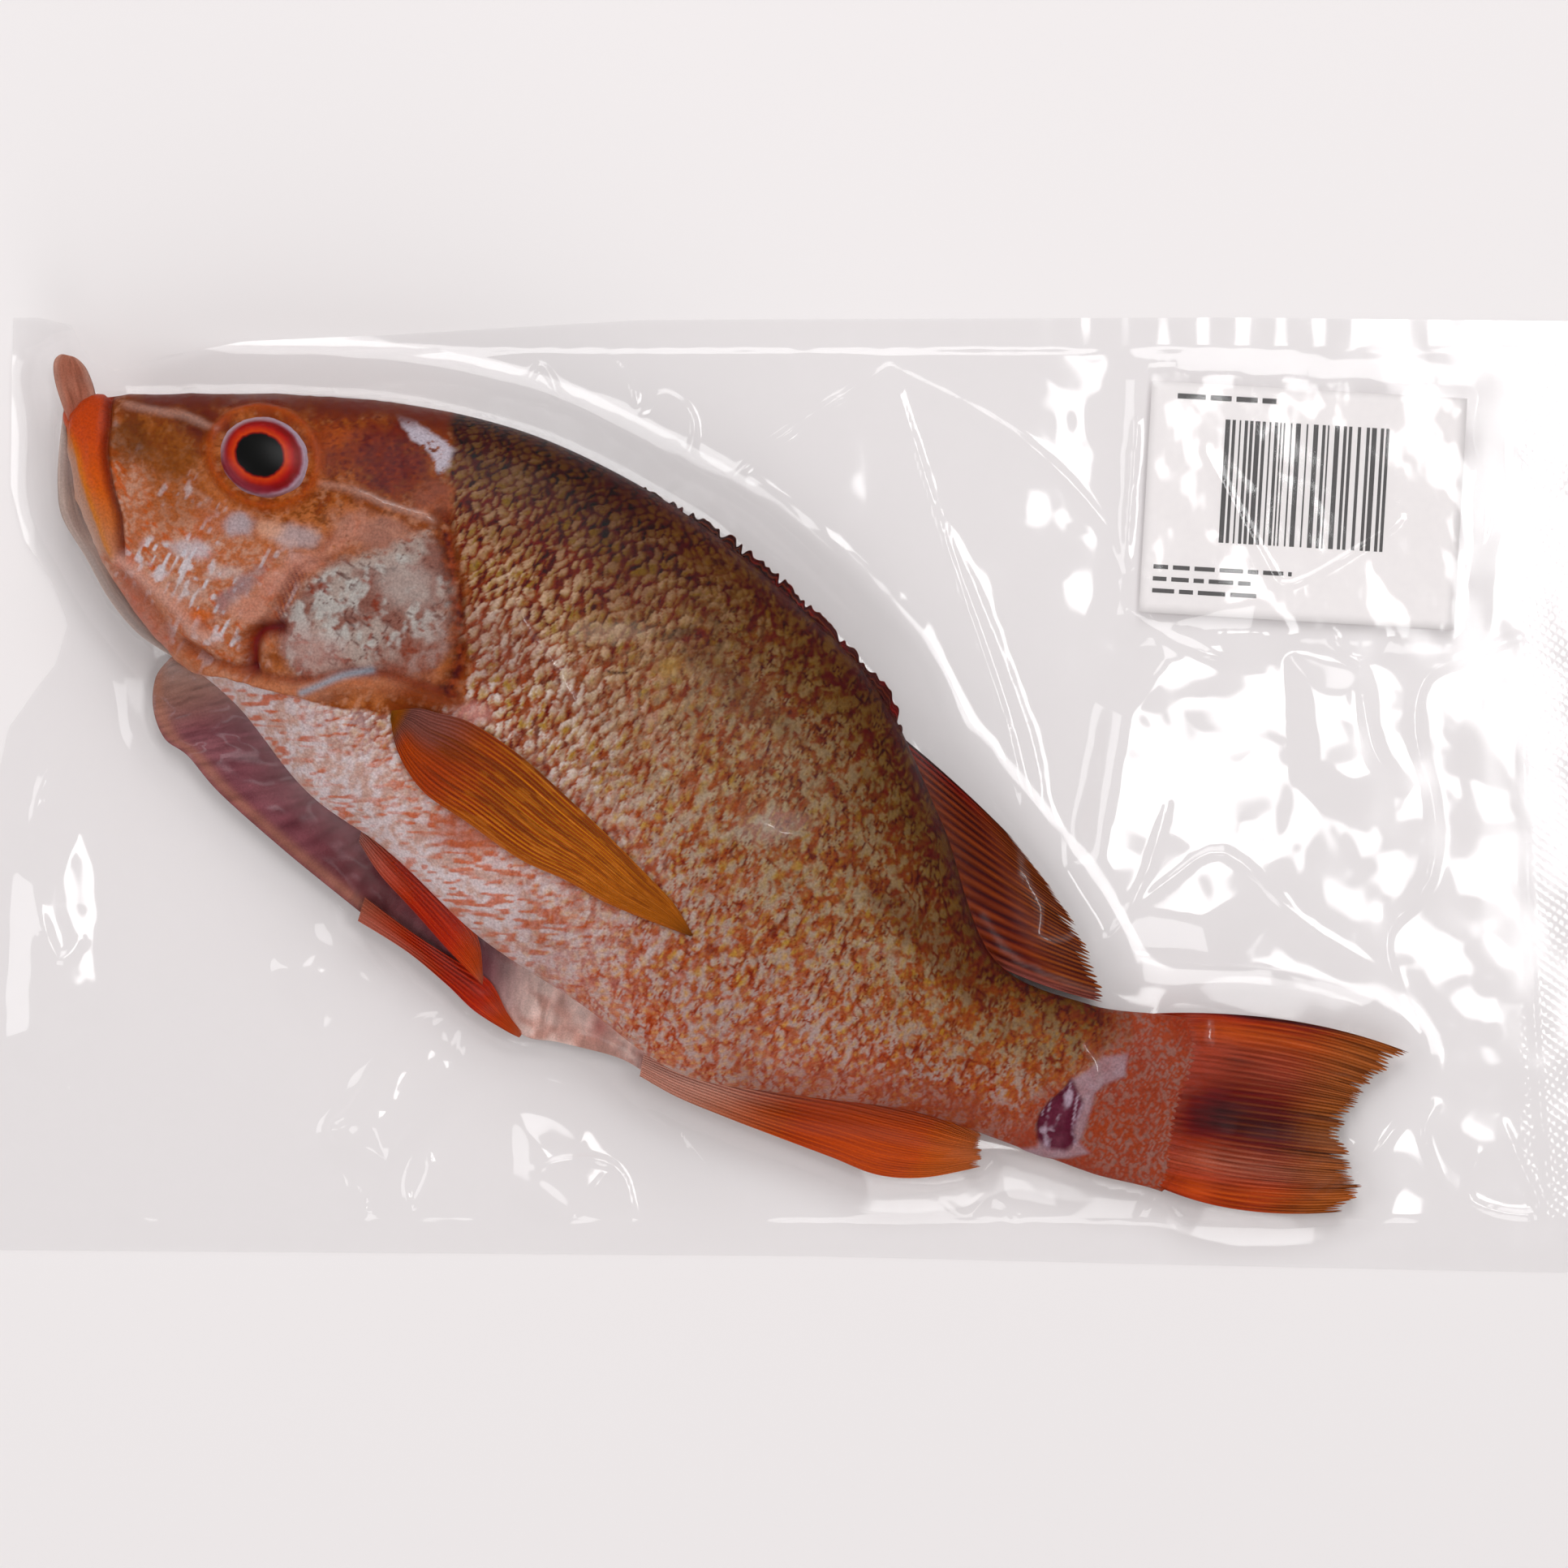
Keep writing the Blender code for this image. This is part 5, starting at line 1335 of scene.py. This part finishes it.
upper_film = np.maximum(upper_film, 0.3 * upper_film + 0.7 * neighbours(upper_film))
roof_of_low = np.where(held, low_side - LOWER_GAP, joined)
lower_film = roof_of_low.copy()
for _ in range(CLING_SWEEPS):
    lower_film = np.minimum(roof_of_low, neighbours(lower_film))
lower_film = np.maximum(lower_film, LOWEST)

# Creases of the upper film in row millimetres: their line, width and height
CREASES = [
    ([(13.8, 89.5), (-10.0, 74.0), (-27.8, 57.6)], 0.8, 0.7),
    ([(13.8, 89.5), (38.0, 77.0), (55.0, 62.0), (64.0, 47.0)], 0.8, 0.6),
    ([(16.0, 84.0), (21.0, 68.0), (28.0, 46.0), (39.0, 13.0), (43.0, -8.0)], 0.7, 0.8),
    ([(24.0, 60.0), (34.0, 38.0), (44.0, 10.0), (47.0, -10.0)], 1.2, 0.5),
    ([(-63.0, 84.0), (-59.0, 90.0), (-55.0, 82.0), (-58.0, 74.0)], 0.6, 0.8),
    ([(-44.0, 91.0), (-40.0, 86.0), (-39.0, 82.0)], 0.6, 0.8),
    ([(-38.0, 60.0), (-30.0, 66.0), (-27.0, 78.0), (-33.0, 84.0), (-38.0, 80.0)], 0.6, 0.8),
    ([(-2.0, 42.0), (3.0, 44.0), (5.0, 39.0), (1.0, 36.0)], 0.5, 0.7),
    ([(14.0, 26.0), (18.0, 27.0), (19.0, 22.0), (15.0, 20.0)], 0.5, 0.7),
    ([(-22.9, 56.4), (-17.0, 52.2), (-8.4, 44.8), (-4.9, 41.5), (0.7, 36.3), (7.7, 28.3), (13.5, 23.1),
      (20.5, 15.2)], 0.6, 0.6),
    ([(-160.0, 89.0), (-161.0, 70.0), (-160.0, 60.0)], 0.8, 0.7),
    ([(-142.0, 91.0), (-128.0, 96.0), (-106.0, 94.0)], 0.8, 0.6),
    ([(-117.0, 85.5), (-106.0, 90.0), (-103.0, 84.5), (-98.0, 88.0), (-92.0, 84.0)], 0.6, 0.9),
    ([(-153.8, 11.9), (-161.6, 5.6), (-164.5, -2.2), (-165.5, -8.1)], 1.0, 0.8),
    ([(-165.0, -20.0), (-160.0, -34.0), (-155.0, -30.0)], 1.2, 0.7),
    ([(-137.0, 2.0), (-134.0, -5.0), (-129.0, -12.0)], 0.8, 0.5),
    ([(-104.2, -19.2), (-99.8, -24.5), (-94.0, -33.3), (-88.1, -40.1), (-86.2, -32.3)], 0.5, 0.7),
    ([(-72.3, -43.1), (-78.6, -45.1), (-85.4, -48.0), (-91.4, -54.0), (-99.0, -65.7), (-102.9, -69.4),
      (-99.5, -76.4), (-98.2, -83.2), (-94.3, -87.1), (-91.4, -77.3), (-87.5, -69.4), (-78.6, -58.7),
      (-74.2, -50.1)], 0.6,
      0.9),
    ([(-84.0, -73.0), (-82.0, -78.0), (-86.0, -86.0), (-87.0, -80.0), (-84.0, -73.0)], 0.6, 0.8),
    ([(-118.0, -72.0), (-104.0, -80.0), (-92.0, -86.0)], 1.2, 0.5),
    ([(-60.1, -78.3), (-54.2, -76.4), (-46.5, -76.4), (-41.6, -80.3), (-39.5, -89.0)], 0.7, 0.8),
    ([(-45.5, -79.3), (-52.8, -89.0)], 0.6, 0.7),
    ([(-37.0, -66.0), (-31.0, -70.0), (-24.0, -82.0)], 0.8, 0.5),
    ([(22.7, -79.6), (24.6, -75.9), (29.7, -72.8)], 0.5, 0.7),
    ([(24.0, -84.0), (30.0, -88.0), (36.0, -84.0), (44.0, -93.0)], 0.8, 0.6),
    ([(66.0, -88.0), (70.0, -84.0), (76.0, -90.0), (84.0, -92.0)], 0.6, 0.7),
    ([(106.0, -59.2), (110.1, -59.2), (112.5, -62.2)], 0.5, 0.7),
    ([(105.5, -61.2), (107.6, -72.0)], 0.5, 0.7),
    ([(108.6, -59.7), (110.1, -67.1), (113.0, -77.1)], 0.7, 0.9),
    ([(110.1, -74.1), (107.1, -79.5), (102.1, -84.1), (100.6, -87.4)], 0.5, 0.7),
    ([(137.3, 85.9), (136.1, 73.3), (140.3, 65.8), (139.8, 54.4), (136.1, 48.1)], 1.0, 0.9),
    ([(146.1, 33.1), (134.7, 28.8), (125.9, 24.4), (124.0, 13.0), (127.9, -2.1), (127.2, -17.1),
      (118.4, -28.5), (119.6, -38.5), (125.9, -49.9)], 1.0, 0.9),
    ([(126.6, -53.6), (123.5, -63.7), (114.7, -76.2), (102.1, -86.3), (90.7, -96.3)], 0.8, 0.8),
    ([(128.4, -64.9), (125.9, -71.1), (129.8, -81.4)], 0.6, 0.7),
    ([(142.4, -68.8), (146.1, -77.4), (149.8, -87.6), (135.9, -85.1), (137.3, -75.1)], 0.7, 0.8),
    ([(146.0, 33.0), (147.0, 4.0), (148.0, -30.0), (150.0, -62.0), (152.0, -84.0)], 0.6, 0.7),
    ([(65.5, 78.5), (64.3, 63.3), (63.2, 48.2)], 0.8, 0.8),
    ([(63.2, 38.2), (74.0, 32.0), (84.5, 28.1)], 1.0, 0.7),
    ([(106.0, 34.0), (112.0, 28.0), (118.0, 33.0)], 0.8, 0.7),
    ([(112.0, 30.0), (115.0, 10.0), (121.0, 2.0)], 1.2, 0.7),
    ([(80.0, 72.0), (92.0, 50.0), (98.0, 44.0), (116.0, 54.0), (121.0, 58.0)], 0.6, 0.5),
    ([(62.0, -26.0), (72.0, -18.0), (84.0, -12.0), (100.0, -26.0), (116.0, -36.0)], 0.8, 0.6),
    ([(40.0, -36.0), (57.0, -32.0), (66.0, -20.0), (72.0, -2.0)], 0.8, 0.7),
]
# Glints where the film is lifted a little off the fish
LIFTED = [
    [(-64.1, 39.6), (-57.2, 29.5), (-54.7, 26.0), (-49.6, 16.3)],
    [(-12.6, -5.9), (-8.0, -8.0), (-4.9, -8.4)],
    [(7.6, -30.0), (12.0, -32.0), (15.9, -35.0)],
    [(40.8, -10.5), (41.8, -15.6), (45.2, -22.7), (45.5, -29.4), (48.9, -30.2), (53.1, -28.9),
     (58.9, -25.2)],
    [(33.2, -24.7), (36.6, -30.2), (40.5, -34.1), (47.9, -37.8), (57.0, -41.0)],
    [(54.7, -51.6), (57.0, -56.7), (57.5, -60.4)],
    [(80.4, -47.6), (80.6, -51.5)],
    [(-96.4, 62.5), (-87.9, 58.8), (-80.1, 56.3)],
    [(-142.9, 80.3), (-133.8, 78.4), (-124.8, 75.4)],
]
LIFTED_WIDTH = 0.55
LIFTED_RISE = 0.55
# Pillows of trapped air whose slope mirrors the right-hand panel: outline, low end and slope
PILLOW_RAMP = 46.0
PILLOWS = [
    (np.array([(54.0, -14.0), (60.0, 18.0), (70.0, 32.0), (90.0, 36.0), (104.0, 30.0), (106.0, 12.0),
               (101.0, -8.0), (96.0, -22.0), (80.0, -30.0), (62.0, -28.0)]), 104.0, 0.12),
    (np.array([(98.0, 28.0), (112.0, 24.0), (121.0, 6.0), (112.0, -2.0), (100.0, 4.0)]), 121.0, 0.12),
    (np.array([(-166.0, -18.0), (-156.0, -8.0), (-150.0, -38.0), (-158.0, -60.0), (-168.0, -50.0)]), -150.0,
     0.20),
    (np.array([(-74.0, -44.0), (-86.0, -49.0), (-99.0, -66.0), (-102.0, -70.0), (-92.0, -74.0),
               (-80.0, -60.0)]),
     -76.0, 0.22),
    (np.array([(-100.0, -70.0), (-96.0, -86.0), (-91.0, -76.0), (-88.0, -66.0)]), -88.0, 0.22),
    (np.array([(-62.0, -70.0), (-50.0, -72.0), (-42.0, -82.0), (-52.0, -88.0), (-62.0, -82.0)]), -44.0,
     0.20),
    (np.array([(-112.0, -36.0), (-100.0, -28.0), (-92.0, -38.0), (-104.0, -46.0)]), -94.0, 0.22),
]
POLYGON_PUFF = np.array([(-74.0, -44.0), (-86.0, -49.0), (-99.0, -66.0), (-102.0, -70.0), (-95.0, -86.0),
                         (-91.0, -77.0), (-87.0, -69.0), (-78.0, -58.0)])
GRID_STEP = 0.62
columns = int(BAG_LENGTH / GRID_STEP)
rows = int(BAG_WIDTH / GRID_STEP)
across, upward = np.meshgrid(np.linspace(0.0, 1.0, columns), np.linspace(0.0, 1.0, rows))


def bag_places(across, upward):
    """Places of the bag's grid: its left, top and bottom borders follow their drawn-in lines."""
    left = np.interp((upward - 0.5) * BAG_WIDTH, *zip(*LEFT_EDGE))
    x = left + (BAG_LENGTH / 2 - left) * across
    low = np.interp(x, *zip(*BOTTOM_EDGE))
    high = np.interp(x, *zip(*TOP_EDGE))
    return x, low + (high - low) * upward


x, y = bag_places(across, upward)
over_fish = read(np.where(held, 1.0, 0.0), x, y)
creased = np.zeros(x.shape)
for line, width, tall in CREASES:
    reach, where = line_reach(x, y, line)
    fade = np.sin(np.pi * np.clip(where, 0.04, 0.96)) ** 0.5
    creased = np.maximum(creased, tall * fade * np.exp(-(reach / width) ** 1.6))
creased = creased * (0.6 + 0.8 * mottle(x, y, 5.0, 101))
lifted = np.zeros(x.shape)
for line in LIFTED:
    reach, where = line_reach(x + 0.8 * (noise(x, y, 2.0, 102) - 0.5),
                              y + 0.8 * (noise(x, y, 2.2, 103) - 0.5), line)
    lifted = np.maximum(lifted, np.sin(np.pi * np.clip(where, 0.05, 0.95)) ** 0.5
                        * np.exp(-(reach / LIFTED_WIDTH) ** 2))
lifted = lifted * over_fish * (0.5 + 0.7 * mottle(x, y, 1.5, 106))
pillow = np.zeros(x.shape)
for outline, low_end, slope in PILLOWS:
    pillow = np.maximum(pillow, within(x, y, outline, 5.0) * slope * np.clip(low_end - x, 0.0, PILLOW_RAMP))
pillow = pillow + 0.9 * within(x, y, POLYGON_PUFF, 1.5) * (0.4 + 1.2 * mottle(x, y, 7.0, 107))
# The welds start this far from the bag's middle line, and the dotted band this far from its middle
TOP_WELD = (92.5, 94.0)
BOTTOM_WELD = (88.5, 90.0)
DOTTED_BAND = (146.0, 147.5)
WELD_THICKNESS = 0.35
seal = np.maximum(ease(y, *TOP_WELD), ease(-y, *BOTTOM_WELD))
right_band = ease(x, *DOTTED_BAND)
folds = np.abs(mottle(x + 0.5 * y, y - 0.3 * x, 17.0, 104) - 0.5)
puffs = 1.2 * ease(mottle(x, y, 36.0, 100), 0.42, 0.75) + 0.7 * folds
puffs = puffs * (1 - over_fish) * (1 - seal) * (1 - 0.7 * right_band)
off_weld = 1 - 0.8 * seal
height = read(upper_film, x, y) + (creased * (1 - 0.75 * over_fish) + LIFTED_RISE * lifted) * off_weld
height = height + (0.8 * puffs + pillow * (1 - over_fish)) * off_weld
seal_level = read(joined, x, y) + WELD_THICKNESS
height = height + (seal_level - height) * seal
upper_sheet = np.stack([x, y, height], axis=-1) * MM

# Clear film: light passes straight through but for a slight milkiness, and its face is glossy.
# The welded bands are waved every 8 mm, and the right end is embossed with slanting dots.
RIB_STEP = 8.168
DOT_STEP = 1.6
DOT_TURN = math.radians(35.0)
RIPPLE_SIZE = 20.0
# The wave texture's angle grows by 20 for each unit along it
WAVE_ANGLE = 20.0
clear_film = paint_of("clear_polyamide_vacuum_film")


def product(first, second):
    """One number times another in the film's material."""
    return add(clear_film, "ShaderNodeMath", {"operation": "MULTIPLY"}, {0: first, 1: second}).outputs[0]


place = places_of(clear_film)
bands = add(clear_film, "ShaderNodeAttribute", {"attribute_name": "tone"}, {}).outputs["Color"]
welded, dotted, clinging = add(clear_film, "ShaderNodeSeparateColor", {}, {0: bands}).outputs
ribs = add(clear_film, "ShaderNodeTexWave", {"bands_direction": "X"},
           {"Vector": place, "Scale": 1000.0 * 2 * math.pi / RIB_STEP / WAVE_ANGLE}).outputs[1]
turned = add(clear_film, "ShaderNodeMapping", {},
             {"Vector": place, "Rotation": (0.0, 0.0, DOT_TURN)}).outputs[0]
dots = add(clear_film, "ShaderNodeTexVoronoi", {"feature": "F1", "voronoi_dimensions": "2D"},
           {"Vector": turned, "Scale": 1000.0 / DOT_STEP, "Randomness": 0.0}).outputs[0]
relief = add(clear_film, "ShaderNodeMath", {"operation": "ADD"},
             {0: product(ribs, welded), 1: product(dots, dotted)}).outputs[0]
bump = add(clear_film, "ShaderNodeBump", {},
           {"Height": relief, "Strength": 0.5, "Distance": 0.0002}).outputs[0]
ripple = cloud_of(clear_film, RIPPLE_SIZE, 1.0)
bump = add(clear_film, "ShaderNodeBump", {},
           {"Height": ripple, "Strength": 0.45, "Distance": 0.0012, "Normal": bump}).outputs[0]
haze = ranged(clear_film, clinging, 0.10, 0.30, 0.0, 1.0)
mirror = add(clear_film, "ShaderNodeBsdfGlossy", {},
             {"Color": linear("#FFFFFF"), "Roughness": haze, "Normal": bump}).outputs[0]
through = add(clear_film, "ShaderNodeBsdfTransparent", {}, {"Color": linear("#FFFFFF")}).outputs[0]
milk = add(clear_film, "ShaderNodeBsdfDiffuse", {}, {"Color": linear("#F0EAEE")}).outputs[0]
body_mix = add(clear_film, "ShaderNodeMixShader", {},
               {0: ranged(clear_film, clinging, 0.030, 0.0, 0.0, 1.0), 1: through, 2: milk}).outputs[0]
# The steeper the film is seen, the more it mirrors; where it clings to the fish it mirrors least
facing = add(clear_film, "ShaderNodeLayerWeight", {}, {"Blend": 0.5, "Normal": bump}).outputs["Facing"]
steep = add(clear_film, "ShaderNodeMath", {"operation": "POWER"}, {0: facing, 1: 5.0}).outputs[0]
gain = ranged(clear_film, steep, ranged(clear_film, clinging, 0.05, 0.005, 0.0, 1.0), 0.6, 0.0, 1.0)
show(clear_film, add(clear_film, "ShaderNodeMixShader", {}, {0: gain, 1: body_mix, 2: mirror}).outputs[0])

film_tones = np.stack([seal, right_band * (1 - seal), over_fish * (1 - np.clip(1.6 * lifted, 0.0, 1.0))],
                      axis=-1)
split = columns // 2
for name, part in (("upper_film_left", slice(0, split + 1)), ("upper_film_right", slice(split, columns))):
    half = upper_sheet[:, part]
    film = make_piece(name, half, grid_faces(rows, half.shape[1]), clear_film, "bag_film",
                      film_tones[:, part])
    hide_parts("bag")
LOW_STEP = 2.2
low_columns = int(BAG_LENGTH / LOW_STEP)
low_rows = int(BAG_WIDTH / LOW_STEP)
across, upward = np.meshgrid(np.linspace(0.0, 1.0, low_columns), np.linspace(0.0, 1.0, low_rows))
x, y = bag_places(across, upward)
lower_sheet = np.stack([x, y, np.maximum(read(lower_film, x, y), LOWEST)], axis=-1) * MM
lower_piece = make_piece("lower_film", lower_sheet, grid_faces(low_rows, low_columns)[:, ::-1], clear_film,
                         "bag_film", np.zeros(lower_sheet.shape))
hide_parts("bag")
